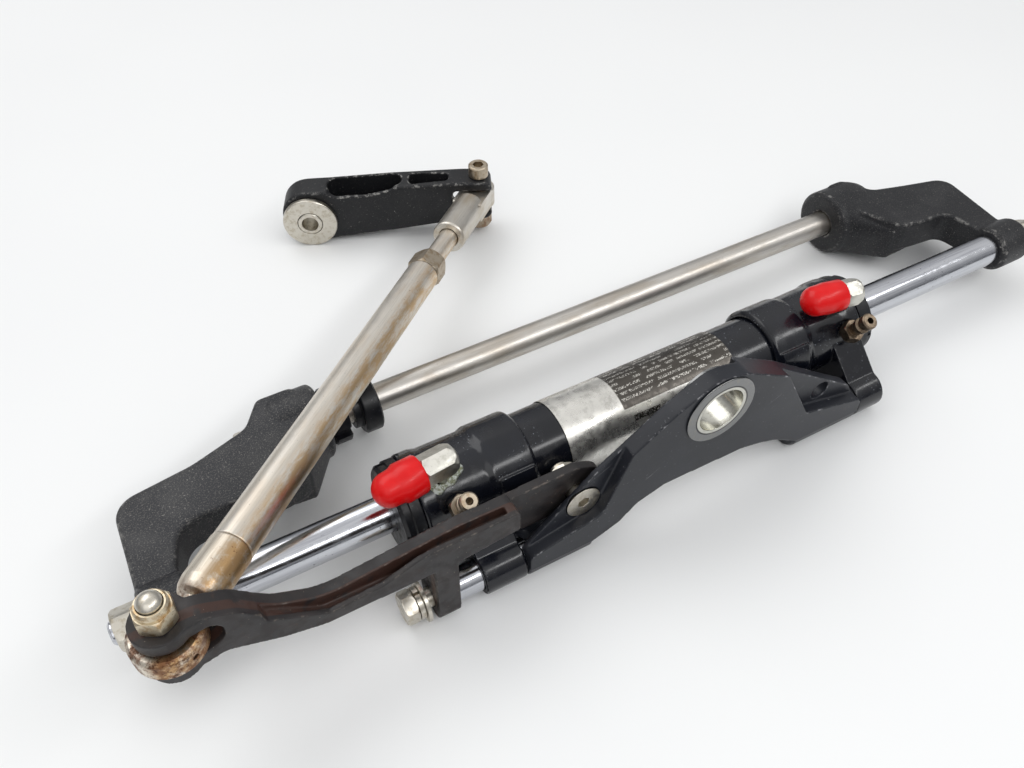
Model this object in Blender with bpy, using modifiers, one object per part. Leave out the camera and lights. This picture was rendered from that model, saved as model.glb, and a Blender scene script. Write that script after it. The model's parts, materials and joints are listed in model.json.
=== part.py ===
"""Outboard steering cylinder kit.

A balanced hydraulic cylinder slides on a fixed rod between two cast brackets that a parallel
support rod ties together. A pivot plate hinges under the cylinder and carries a forged arm,
whose fork holds the ball of a tie bar; the bar ends in a swivel clevis and a short link arm.

All lengths are millimetres along the kit's own axes: X runs along the piston rod, Y points from
the pivot plate to the support rod and Z is up. The piston rod's axis is Y = Z = 0.
"""
import math

import bmesh
import bpy
from mathutils import Matrix, Vector

MM = 0.001
GAP = 0.3                      # clearance kept between touching pieces

# Where the kit stands: the middle of its footprint, on the ground
BLEEDER_SEAT = (-22.6, 11.8)
BLEEDER_DIRECTION = Vector((0.0, -0.5, 0.866)).normalized()
ELBOW_HEIGHT = 35.7            # cylinder axis to the middle of the elbow's arm
CAP_LENGTH = 24.0              # red port cap
KIT_CENTRE_X = 18.5
KIT_CENTRE_Y = 110.34
GROUND_Z = -30.2

# Piston rod, support rod and pivot axis (Y, Z of each axis parallel to X)
ROD_RADIUS = 9.525             # 3/4 in
SUPPORT_AXIS = (79.6, -9.6)
SUPPORT_RADIUS = 7.94          # 5/8 in
PIVOT_AXIS = (-39.6, -19.2)
PIN_RADIUS = 7.94
STUD_RADIUS = 5.5

# Brackets
LEFT_EYE = (-253.5, -232.0)
RIGHT_EYE = (268.0, 291.0)
LEFT_HUB = (-172.0, -142.0)
RIGHT_HUB = (208.0, 241.0)
EYE_RADIUS = 13.8
HUB_RADIUS = 20.6
ARM_Z = (-12.0, 9.0)
NUT_FLATS = 17.0
NUT_LENGTH = 12.0
SUPPORT_NUT_LENGTH = 15.5

# Cylinder
BARREL_X = (-117.4, 129.1)
BARREL_RADIUS = 20.97
BORE_RADIUS = 17.5
CAP_RADIUS = 24.5
LEFT_CAP = (-127.5, -67.4)
RIGHT_CAP = (79.4, 139.2)
LEFT_GLAND = (-138.0, -127.8)
RIGHT_GLAND = (139.5, 149.7)
LABEL_X = (-48.4, 55.6)
BOSS_RADIUS = 10.9
LEFT_BOSS = (-112.3, -90.2)
RIGHT_BOSS = (118.5, 138.0)
PISTON_X = (5.5, 30.5)

# Pivot plate
PLATE_FRONT_Y = -51.0
PLATE_FLOOR_Y = -44.5
PLATE_REAR_Y = -38.0
LEFT_SLEEVE = (-89.9, -54.0)
RIGHT_SLEEVE = (74.0, 118.2)
BUSHING_CENTRE = (11.2, 40.8)
SCREW_CENTRE = (-58.0, 7.6)

# Forged arm and its fork
LUG_X = (-137.0, -126.0)
ARM_FRONT_Y = -50.0
ARM_REAR_Y = -38.0
TONGUE_Y = (-37.7, -33.0)
BALL = Vector((-243.0, -42.7, 43.5))
EAR_RADIUS = 11.5
SLOT_HALF = 7.2
FORK_HALF = 14.0

# Tie bar and link arm
LINK_PIN = Vector((22.8, 211.7, -3.0))
LINK_EYE = Vector((-78.9, 261.0, -12.3))
TUBE_RADIUS = 9.525
SOCKET_RADIUS = 10.6
BAR_DIRECTION = (LINK_PIN - BALL).normalized()
BAR_LENGTH = (LINK_PIN - BALL).length
LINK_RUN = Vector((LINK_EYE.x - LINK_PIN.x, LINK_EYE.y - LINK_PIN.y, 0.0))
LINK_LENGTH = LINK_RUN.length
LINK_ALONG = LINK_RUN.normalized()
LINK_NORMAL = LINK_ALONG.cross(Vector((0.0, 0.0, -1.0))).normalized()
DISC_RADIUS = 17.8

AXIS_X = Vector((1.0, 0.0, 0.0))
AXIS_Y = Vector((0.0, 1.0, 0.0))
AXIS_Z = Vector((0.0, 0.0, 1.0))


# ---------------------------------------------------------------- scene and materials

for old in list(bpy.data.objects):
    bpy.data.objects.remove(old, do_unlink=True)

kit = bpy.data.collections.new("steering_cylinder_kit")
bpy.context.scene.collection.children.link(kit)


def make_material(name, color, roughness, metallic):
    """Principled material with one colour, roughness and metallic value."""
    made = bpy.data.materials.new(name)
    made.use_nodes = True
    made.diffuse_color = (*color, 1.0)
    shader = made.node_tree.nodes["Principled BSDF"]
    shader.inputs["Base Color"].default_value = (*color, 1.0)
    shader.inputs["Roughness"].default_value = roughness
    shader.inputs["Metallic"].default_value = metallic
    return made


MATERIALS = {
    "cast_black": make_material("cast_black", (0.028, 0.029, 0.030), 0.62, 0.0),
    "anodised_black": make_material("anodised_black", (0.012, 0.014, 0.022), 0.32, 0.3),
    "plate_black": make_material("plate_black", (0.020, 0.022, 0.030), 0.40, 0.3),
    "forged_black": make_material("forged_black", (0.025, 0.023, 0.023), 0.48, 0.2),
    "chrome": make_material("chrome", (0.75, 0.76, 0.80), 0.12, 1.0),
    "brushed_steel": make_material("brushed_steel", (0.52, 0.50, 0.47), 0.30, 1.0),
    "stainless": make_material("stainless", (0.60, 0.58, 0.54), 0.30, 1.0),
    "bronze": make_material("bronze", (0.30, 0.24, 0.18), 0.38, 1.0),
    "zinc_yellow": make_material("zinc_yellow", (0.50, 0.40, 0.24), 0.35, 1.0),
    "rusty_steel": make_material("rusty_steel", (0.33, 0.20, 0.13), 0.50, 0.7),
    "red_plastic": make_material("red_plastic", (0.80, 0.02, 0.03), 0.28, 0.0),
    "foil": make_material("foil", (0.68, 0.68, 0.66), 0.30, 1.0),
    "black_plastic": make_material("black_plastic", (0.015, 0.015, 0.017), 0.40, 0.0),
}


# ---------------------------------------------------------------- shape helpers

def new_object(mesh):
    """Link a mesh as a working object."""
    obj = bpy.data.objects.new("work", mesh)
    kit.objects.link(obj)
    return obj


def read_mesh(obj):
    """Mesh of an object with its modifiers and its placement applied."""
    bpy.context.view_layer.update()
    depsgraph = bpy.context.evaluated_depsgraph_get()
    mesh = bpy.data.meshes.new_from_object(obj.evaluated_get(depsgraph))
    mesh.transform(obj.matrix_world)
    return mesh


def weld(mesh):
    """Merge the loose seams and caps of a mesh into one closed skin."""
    work = bmesh.new()
    work.from_mesh(mesh)
    bmesh.ops.remove_doubles(work, verts=work.verts, dist=0.000002)
    bmesh.ops.dissolve_degenerate(work, edges=work.edges, dist=0.000002)
    work.to_mesh(mesh)
    work.free()
    return mesh


def frame_along(start, direction):
    """Placement whose Z axis follows a direction from a point in millimetres."""
    turn = Vector(direction).to_track_quat("Z", "Y").to_matrix().to_4x4()
    return Matrix.Translation(Vector(start) * MM) @ turn


def turned(profile, start=(0.0, 0.0, 0.0), direction=AXIS_X, segments=20, ring=False):
    """Turned solid from (distance, radius) pairs, far end first; a ring closes its profile."""
    points = [(radius * MM, 0.0, distance * MM) for distance, radius in profile]
    edges = [(i, i + 1) for i in range(len(points) - 1)]
    if ring:
        edges.append((len(points) - 1, 0))
    mesh = bpy.data.meshes.new("profile")
    mesh.from_pydata(points, edges, [])
    obj = new_object(mesh)
    screw = obj.modifiers.new("Screw", "SCREW")
    screw.steps = segments
    screw.render_steps = segments
    screw.use_merge_vertices = True
    screw.merge_threshold = 0.00001
    obj.matrix_world = frame_along(start, direction)
    solid = new_object(weld(read_mesh(obj)))
    bpy.data.objects.remove(obj)
    return solid


def rod(start, direction, near, far, radius, segments=20, chamfer=0.0):
    """Plain round bar between two distances along a direction."""
    profile = [(far, 0.0), (far, radius - chamfer)]
    if chamfer:
        profile += [(far - chamfer, radius), (near + chamfer, radius)]
    profile += [(near, radius - chamfer), (near, 0.0)]
    return turned(profile, start, direction, segments)


def tube(start, direction, near, far, radius, bore, segments=20, chamfer=0.0):
    """Round tube with a clear bore and chamfered outer edges."""
    profile = [(far, bore), (far, radius - chamfer)]
    if chamfer:
        profile += [(far - chamfer, radius), (near + chamfer, radius)]
    profile += [(near, radius - chamfer), (near, bore)]
    return turned(profile, start, direction, segments, ring=True)


def along_x(axis):
    """Point at X = 0 on an axis parallel to X, given its Y and Z."""
    return (0.0, axis[0], axis[1])


def rounded(corners, steps=3):
    """Outline with each (a, b, radius) corner turned into an arc."""
    outline = []
    count = len(corners)
    for i, (a, b, radius) in enumerate(corners):
        corner = Vector((a, b))
        to_last = (Vector(corners[i - 1][:2]) - corner).normalized()
        to_next = (Vector(corners[(i + 1) % count][:2]) - corner).normalized()
        if radius == 0:
            outline.append(corner)
            continue
        half = to_last.angle(to_next) / 2.0
        reach = radius / math.tan(half)
        middle = corner + (to_last + to_next).normalized() * radius / math.sin(half)
        first = corner + to_last * reach - middle
        last = corner + to_next * reach - middle
        sweep = first.angle_signed(last)
        for step in range(steps + 1):
            turn = Matrix.Rotation(-sweep * step / steps, 2)
            outline.append(middle + turn @ first)
    return outline


def arc(centre, radius, start, stop, steps):
    """Points of a circular arc, angles in degrees."""
    points = []
    for step in range(steps + 1):
        angle = math.radians(start + (stop - start) * step / steps)
        points.append(Vector((centre[0] + radius * math.cos(angle), centre[1] + radius * math.sin(angle))))
    return points


PLANES = {
    "XY": Matrix(((1, 0, 0, 0), (0, 1, 0, 0), (0, 0, 1, 0), (0, 0, 0, 1))),
    "XZ": Matrix(((1, 0, 0, 0), (0, 0, -1, 0), (0, 1, 0, 0), (0, 0, 0, 1))),
    "YZ": Matrix(((0, 0, 1, 0), (1, 0, 0, 0), (0, 1, 0, 0), (0, 0, 0, 1))),
}
PLANES["LINK"] = Matrix((
    (LINK_ALONG.x, 0, -LINK_NORMAL.x, LINK_PIN.x * MM),
    (LINK_ALONG.y, 0, -LINK_NORMAL.y, LINK_PIN.y * MM),
    (0, 1, 0, 0),
    (0, 0, 0, 1),
))
PLANES["LINK_TOP"] = Matrix((
    (LINK_ALONG.x, LINK_NORMAL.x, 0, LINK_PIN.x * MM),
    (LINK_ALONG.y, LINK_NORMAL.y, 0, LINK_PIN.y * MM),
    (0, 0, 1, 0),
    (0, 0, 0, 1),
))


def prism(outline, plane, near, far, bevel=0.0, bevel_steps=0):
    """Outline extruded between two heights of a plane's normal, with rounded edges."""
    curve = bpy.data.curves.new("outline", "CURVE")
    curve.dimensions = "2D"
    curve.fill_mode = "BOTH"
    curve.extrude = ((far - near) / 2.0 - bevel) * MM
    curve.bevel_depth = bevel * MM
    curve.bevel_resolution = bevel_steps
    curve.offset = -bevel * MM
    spline = curve.splines.new("POLY")
    spline.points.add(len(outline) - 1)
    for point, corner in zip(spline.points, outline):
        point.co = (corner[0] * MM, corner[1] * MM, 0.0, 1.0)
    spline.use_cyclic_u = True
    obj = bpy.data.objects.new("outline", curve)
    kit.objects.link(obj)
    obj.matrix_world = PLANES[plane] @ Matrix.Translation((0.0, 0.0, (near + far) / 2.0 * MM))
    solid = new_object(weld(read_mesh(obj)))
    bpy.data.objects.remove(obj)
    return solid


def box(low, high):
    """Block between two corners."""
    size = Vector(high) - Vector(low)
    middle = (Vector(high) + Vector(low)) / 2.0
    work = bmesh.new()
    matrix = Matrix.Translation(middle * MM) @ Matrix.Diagonal((*(size * MM), 1.0))
    bmesh.ops.create_cube(work, size=1.0, matrix=matrix)
    mesh = bpy.data.meshes.new("box")
    work.to_mesh(mesh)
    work.free()
    return new_object(mesh)


def ball(centre, radius, segments=16, rings=10):
    """Full sphere."""
    work = bmesh.new()
    bmesh.ops.create_uvsphere(work, u_segments=segments, v_segments=rings, radius=radius * MM,
                              matrix=Matrix.Translation(Vector(centre) * MM))
    mesh = bpy.data.meshes.new("ball")
    work.to_mesh(mesh)
    work.free()
    return new_object(mesh)


def ring_points(x, axis, radius, count=20):
    """Points round an axis parallel to X."""
    return [(x, axis[0] + radius * math.cos(2.0 * math.pi * i / count),
             axis[1] + radius * math.sin(2.0 * math.pi * i / count)) for i in range(count)]


def hull(points):
    """Smallest convex solid round a set of points."""
    work = bmesh.new()
    for point in points:
        work.verts.new(Vector(point) * MM)
    made = bmesh.ops.convex_hull(work, input=work.verts)
    spare = [item for item in made["geom_interior"] if isinstance(item, bmesh.types.BMVert)]
    bmesh.ops.delete(work, geom=spare, context="VERTS")
    bmesh.ops.recalc_face_normals(work, faces=work.faces)
    mesh = bpy.data.meshes.new("hull")
    work.to_mesh(mesh)
    work.free()
    return new_object(mesh)


def hexagon(start, direction, near, far, flats, turn=0.0):
    """Hexagonal bar between two distances along a direction."""
    work = bmesh.new()
    placement = frame_along(Vector(start) + Vector(direction).normalized() * (near + far) / 2.0, direction)
    radius = flats / math.sqrt(3.0) * MM
    bmesh.ops.create_cone(work, cap_ends=True, segments=6, radius1=radius, radius2=radius,
                          depth=(far - near) * MM,
                          matrix=placement @ Matrix.Rotation(math.radians(turn), 4, "Z"))
    mesh = bpy.data.meshes.new("hexagon")
    work.to_mesh(mesh)
    work.free()
    return new_object(mesh)


def combine(target, tool, operation):
    """Boolean of two solids; the tool is used up."""
    modifier = target.modifiers.new("Boolean", "BOOLEAN")
    modifier.operation = operation
    modifier.object = tool
    mesh = weld(read_mesh(target))
    target.modifiers.clear()
    target.data = mesh
    bpy.data.objects.remove(tool)
    return target


def join(target, *tools):
    """Union of a solid with others."""
    for tool in tools:
        combine(target, tool, "UNION")
    return target


def cut(target, *tools):
    """Solid with others taken away."""
    for tool in tools:
        combine(target, tool, "DIFFERENCE")
    return target


def common(target, tool):
    """What two solids share."""
    return combine(target, tool, "INTERSECT")


def hex_nut(start, direction, near, far, flats, bore, chamfer=1.2, turn=0.0):
    """Hexagonal nut with rounded-off corners and a clear hole."""
    nut = hexagon(start, direction, near, far, flats, turn)
    corner = flats / math.sqrt(3.0)
    envelope = rod(start, direction, near - 0.01, far + 0.01, corner, 18, chamfer)
    common(nut, envelope)
    return cut(nut, rod(start, direction, near - 1.0, far + 1.0, bore, 16))


# ---------------------------------------------------------------- bodies and naming

def make_frame(name, point, parent=None):
    """Empty on a body's joint axis."""
    empty = bpy.data.objects.new(name, None)
    empty.empty_display_size = 0.02
    kit.objects.link(empty)
    empty.location = Vector(point) * MM
    if parent:
        bpy.context.view_layer.update()
        empty.parent = parent
        empty.matrix_parent_inverse = parent.matrix_world.inverted()
    return empty


def finish(obj, name, material, body, sharp=32.0):
    """Name a solid, shade it and hang it on its body's empty."""
    obj.name = name
    obj.data.name = name
    obj.data.materials.clear()
    obj.data.materials.append(MATERIALS[material])
    obj.data.shade_smooth()
    obj.data.set_sharp_from_angle(angle=math.radians(sharp))
    bpy.context.view_layer.update()
    obj.data.transform(Matrix.Translation(-body.matrix_world.translation))
    obj.parent = body
    return obj


# ---------------------------------------------------------------- brackets and rods

def build_bracket(name, body, outline, eye, hub, inner_side):
    """Cast arm from the piston rod's eye to the support rod's hub."""
    bracket = prism(rounded(outline), "XY", ARM_Z[0], ARM_Z[1], 2.4)
    length = hub[1] - hub[0]
    outer_end = hub[0] if inner_side > 0 else hub[1]
    inner_end = hub[1] if inner_side > 0 else hub[0]
    hub_solid = turned(
        [(length, 0.0), (length, 18.4), (length - 2.0, HUB_RADIUS), (7.0, HUB_RADIUS), (2.0, 18.6), (0.0, 15.6),
         (0.0, 0.0)],
        (outer_end, *SUPPORT_AXIS), AXIS_X * inner_side, 20)
    eye_solid = rod(along_x((0.0, 0.0)), AXIS_X, eye[0], eye[1], EYE_RADIUS, 24, 1.6)
    near_hub = inner_end - inner_side * 3.0
    behind = inner_end - inner_side * 32.0
    belly = hull(ring_points(near_hub, SUPPORT_AXIS, 19.2) + [
        (behind, 35.5, -13.0), (behind, 35.5, 6.0), (behind, 60.0, -20.0), (behind, 60.0, 7.0),
        (inner_end - inner_side * 20.0, 38.5, -18.0), (inner_end - inner_side * 20.0, 38.5, 3.0)])
    join(bracket, belly, hub_solid, eye_solid)
    stud_hole = rod(along_x((0.0, 0.0)), AXIS_X, eye[0] - 2.0, eye[1] + 2.0, STUD_RADIUS + GAP, 20)
    hub_hole = rod(along_x(SUPPORT_AXIS), AXIS_X, hub[0] - 2.0, hub[1] + 2.0, STUD_RADIUS + GAP, 20)
    socket = rod((inner_end, *SUPPORT_AXIS), AXIS_X * inner_side, -12.0, 2.0, SUPPORT_RADIUS + GAP, 20)
    nut_recess = rod((outer_end, *SUPPORT_AXIS), AXIS_X * -inner_side, 0.0, 22.0, 11.0, 20)
    cut(bracket, stud_hole, hub_hole, socket, nut_recess)
    return finish(bracket, name, "cast_black", body)


def build_brackets(body):
    """The two brackets, a longer one on the left and a shorter one on the right."""
    left_outline = [
        (-253.2, -3.0, 0), (-253.2, 10.0, 6), (-251.5, 61.5, 13), (-212.0, 67.2, 40), (-182.0, 77.0, 12),
        (-171.2, 93.0, 5), (-150.0, 93.0, 5), (-150.0, 59.0, 6), (-164.0, 36.0, 12), (-178.0, 33.6, 12),
        (-227.0, 34.6, 13), (-233.2, 14.0, 8), (-233.2, -3.0, 0),
    ]
    right_outline = [
        (290.6, -3.0, 0), (288.4, 12.0, 6), (294.4, 61.0, 11), (264.0, 68.7, 25), (242.0, 75.0, 10),
        (232.5, 93.0, 6), (218.0, 93.0, 5), (218.0, 59.0, 6), (230.0, 36.0, 12), (243.0, 33.6, 10),
        (264.0, 31.6, 7), (267.7, 12.0, 5), (268.4, -3.0, 0),
    ]
    build_bracket("left_bracket", body, left_outline, LEFT_EYE, LEFT_HUB, 1.0)
    build_bracket("right_bracket", body, right_outline, RIGHT_EYE, RIGHT_HUB, -1.0)


def stepped_rod(axis, left_shoulder, right_shoulder, left_end, right_end, radius):
    """Round bar with a thinner stud at each end."""
    profile = [
        (right_end, 0.0), (right_end, STUD_RADIUS - 1.0), (right_end - 1.0, STUD_RADIUS),
        (right_shoulder, STUD_RADIUS), (right_shoulder, radius - 0.6), (right_shoulder - 0.6, radius),
        (left_shoulder + 0.6, radius), (left_shoulder, radius - 0.6), (left_shoulder, STUD_RADIUS),
        (left_end + 1.0, STUD_RADIUS), (left_end, STUD_RADIUS - 1.0), (left_end, 0.0),
    ]
    return turned(profile, along_x(axis), AXIS_X, 20)


def build_rods(body):
    """Piston rod, support rod, their end nuts and the two loose collars."""
    centre = (0.0, 0.0)
    piston_rod = stepped_rod(centre, LEFT_EYE[1] + GAP, RIGHT_EYE[0] - GAP, -268.0, 305.0, ROD_RADIUS)
    finish(piston_rod, "piston_rod", "chrome", body)
    support = stepped_rod(SUPPORT_AXIS, LEFT_HUB[1] - 12.0 + GAP, RIGHT_HUB[0] + 12.0 - GAP,
                          -189.5, 258.5, SUPPORT_RADIUS)
    finish(support, "support_rod", "brushed_steel", body)
    nuts = (
        ("piston_rod_nut_left", centre, LEFT_EYE[0] - GAP - NUT_LENGTH, NUT_LENGTH),
        ("piston_rod_nut_right", centre, RIGHT_EYE[1] + GAP, NUT_LENGTH),
        ("support_rod_nut_left", SUPPORT_AXIS, LEFT_HUB[0] - GAP - SUPPORT_NUT_LENGTH, SUPPORT_NUT_LENGTH),
        ("support_rod_nut_right", SUPPORT_AXIS, RIGHT_HUB[1] + GAP, SUPPORT_NUT_LENGTH),
    )
    for name, axis, near, length in nuts:
        nut = hex_nut(along_x(axis), AXIS_X, near, near + length, NUT_FLATS, STUD_RADIUS + GAP)
        finish(nut, name, "stainless", body)
    collar_bore = SUPPORT_RADIUS + GAP
    flanged = turned(
        [(-112.8, collar_bore), (-112.8, 14.8), (-113.8, 16.1), (-122.0, 16.1), (-123.0, 14.8),
         (-123.0, 11.5), (-127.0, 11.5), (-127.0, collar_bore)],
        along_x(SUPPORT_AXIS), AXIS_X, 20, ring=True)
    finish(flanged, "flanged_collar", "black_plastic", body)
    notched = tube(along_x(SUPPORT_AXIS), AXIS_X, -140.2, -130.9, 16.0, collar_bore, 20, 0.8)
    notch_y = SUPPORT_AXIS[0] - 16.0
    cut(notched, box((-142.0, notch_y - 2.0, SUPPORT_AXIS[1] - 3.0), (-129.0, notch_y + 4.5, SUPPORT_AXIS[1] + 3.0)))
    finish(notched, "notched_collar", "black_plastic", body)


def build_piston(body):
    """Piston with two seal grooves, fixed to the rod inside the barrel."""
    low, high = PISTON_X
    outer = BORE_RADIUS - GAP
    groove = outer - 2.0
    profile = [
        (high, ROD_RADIUS + GAP), (high, outer),
        (high - 5.0, outer), (high - 5.0, groove), (high - 9.0, groove), (high - 9.0, outer),
        (low + 9.0, outer), (low + 9.0, groove), (low + 5.0, groove), (low + 5.0, outer),
        (low, outer), (low, ROD_RADIUS + GAP),
    ]
    finish(turned(profile, segments=20, ring=True), "piston", "stainless", body)


# ---------------------------------------------------------------- cylinder

def build_barrel(body):
    """Barrel and the foil label wrapped round its front and top."""
    barrel = tube((0.0, 0.0, 0.0), AXIS_X, BARREL_X[0], BARREL_X[1], BARREL_RADIUS, BORE_RADIUS, 32)
    finish(barrel, "barrel", "anodised_black", body)
    inside = BARREL_RADIUS + GAP
    label = tube((0.0, 0.0, 0.0), AXIS_X, LABEL_X[0], LABEL_X[1], inside + 0.25, inside, 32)
    cut(label, box((LABEL_X[0] - 1.0, -5.0, -25.0), (LABEL_X[1] + 1.0, 25.0, -8.0)))
    finish(label, "barrel_label", "foil", body)


def boss_web(span):
    """Web that joins a cap to its pivot boss."""
    reach = Vector(PIVOT_AXIS).normalized()
    side = Vector((-reach.y, reach.x))
    pivot = Vector(PIVOT_AXIS)
    outline = [side * 21.0, pivot + side * 8.5, pivot - side * 8.5, side * -21.0]
    return prism(outline, "YZ", span[0], span[1])


def build_cap(name, body, span, boss, outward, bleeder_x):
    """End cap: barrel socket, rod bore, pivot boss and the bleeder's flat."""
    low, high = span
    outer_end = low if outward < 0 else high
    inner_end = high if outward < 0 else low
    length = high - low
    start = (outer_end, 0.0, 0.0)
    inward = AXIS_X * -outward
    cap = turned(
        [(length, 0.0), (length, 23.2), (length - 18.0, 23.4), (length - 19.0, CAP_RADIUS),
         (1.2, CAP_RADIUS), (0.0, CAP_RADIUS - 1.2), (0.0, 0.0)], start, inward, 32)
    boss_solid = rod(along_x(PIVOT_AXIS), AXIS_X, boss[0], boss[1], BOSS_RADIUS, 20, 0.8)
    join(cap, boss_web(boss), boss_solid)
    barrel_end = BARREL_X[0] if outward < 0 else BARREL_X[1]
    socket_depth = abs(outer_end - barrel_end) - GAP
    socket = rod(start, inward, socket_depth, length + 2.0, BARREL_RADIUS + GAP, 32)
    rod_bore = rod(start, inward, -2.0, socket_depth + 2.0, ROD_RADIUS + GAP, 20)
    pin_bore = rod(along_x(PIVOT_AXIS), AXIS_X, boss[0] - 2.0, boss[1] + 2.0, PIN_RADIUS + 2.0, 20)
    spot = rod((bleeder_x, *BLEEDER_SEAT), BLEEDER_DIRECTION, -GAP, 8.0, 7.2, 20)
    cut(cap, socket, rod_bore, pin_bore, spot)
    finish(cap, name, "anodised_black", body)
    bush = tube(along_x(PIVOT_AXIS), AXIS_X, boss[0], boss[1], PIN_RADIUS + 2.0 - GAP, PIN_RADIUS + GAP, 20)
    finish(bush, name.replace("end_cap", "pivot_bush"), "black_plastic", body)


def build_gland(name, body, span, outward):
    """Gland nut with spanner notches round its rim."""
    start = (span[0] if outward > 0 else span[1], 0.0, 0.0)
    length = span[1] - span[0]
    gland = turned(
        [(length, ROD_RADIUS + GAP), (length, 21.4), (length - 1.6, 23.0), (5.4, 23.0), (4.9, 23.8), (0.0, 23.8),
         (0.0, ROD_RADIUS + GAP)], start, AXIS_X * outward, 32, ring=True)
    for index in range(6):
        angle = math.radians(60.0 * index + 20.0)
        notch = box((span[0] - 1.0, -2.2, 21.6), (span[1] + 1.0, 2.2, 26.0))
        notch.data.transform(Matrix.Rotation(angle, 4, "X"))
        tool = box((start[0] + outward * 5.4, -30.0, -30.0), (start[0] + outward * (length + 2.0), 30.0, 30.0))
        if outward < 0:
            tool.data.flip_normals()
        cut(gland, common(notch, tool))
    finish(gland, name, "black_plastic", body)


def build_bleeder(name, body, x, material):
    """Bleeder screw: hexagon, neck and barbed tip with its outlet."""
    start = (x, *BLEEDER_SEAT)
    tip = turned(
        [(20.0, 0.0), (20.0, 3.7), (19.2, 4.4), (16.0, 4.4), (15.2, 3.2), (13.6, 3.2), (12.8, 4.4), (10.6, 4.4),
         (9.8, 3.6), (3.0, 3.6), (3.0, 0.0)], start, BLEEDER_DIRECTION, 16)
    collar = common(hexagon(start, BLEEDER_DIRECTION, 0.0, 6.0, 11.0),
                    rod(start, BLEEDER_DIRECTION, -0.01, 6.01, 11.0 / math.sqrt(3.0), 18, 0.8))
    join(tip, collar)
    cut(tip, rod(start, BLEEDER_DIRECTION, 8.0, 22.0, 1.8, 12))
    finish(tip, name, material, body)


def elbow_stem(lean):
    """Way an elbow's stem leaves the cylinder, leaned from straight up towards the pivot plate."""
    return Vector((0.0, -math.sin(math.radians(lean)), math.cos(math.radians(lean))))


def elbow_direction(outward, yaw):
    """Way an elbow points, along -X and turned about Z."""
    angle = math.radians(yaw)
    return Vector((-math.cos(angle), math.sin(angle) * outward, 0.0))


def build_elbow(side, body, cap_body, x, stem_way, direction, shank_ends, stem_flats):
    """Hexagonal port elbow and the soft cap pushed over its nipple."""
    back, front = shank_ends
    centre = Vector((x, 0.0, 0.0)) + stem_way * ELBOW_HEIGHT
    shank = common(hexagon(centre, direction, back, front, 13.4),
                   turned([(front, 0.0), (front, 6.8), (front - 1.0, 7.8), (back + 4.5, 7.8),
                           (back + 1.5, 6.4), (back, 3.6), (back, 0.0)], centre, direction, 20))
    stem = hexagon((x, 0.0, 0.0), stem_way, CAP_RADIUS + GAP, ELBOW_HEIGHT, stem_flats)
    nipple = rod(centre, direction, front - 1.0, front + 16.0, 5.0, 20, 0.6)
    join(shank, stem, nipple)
    cut(shank, rod(centre, direction, front - 2.0, front + 18.0, 3.0, 16))
    finish(shank, side + "_port_elbow", "stainless", body)
    start = centre + direction * (front + GAP)
    profile = [(CAP_LENGTH, 0.0)]
    profile += [(CAP_LENGTH - 7.5 + 7.5 * math.cos(math.radians(a)), 8.2 * math.sin(math.radians(a)))
                for a in (30.0, 60.0, 90.0)]
    profile += [(11.0, 8.7), (1.0, 8.3), (0.0, 7.6), (0.0, 5.0 + GAP), (17.0, 5.0 + GAP), (17.0, 0.0)]
    cap = turned(profile, start, direction, 18)
    finish(cap, side + "_port_cap", "red_plastic", cap_body)


# ---------------------------------------------------------------- pivot plate and forged arm

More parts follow.
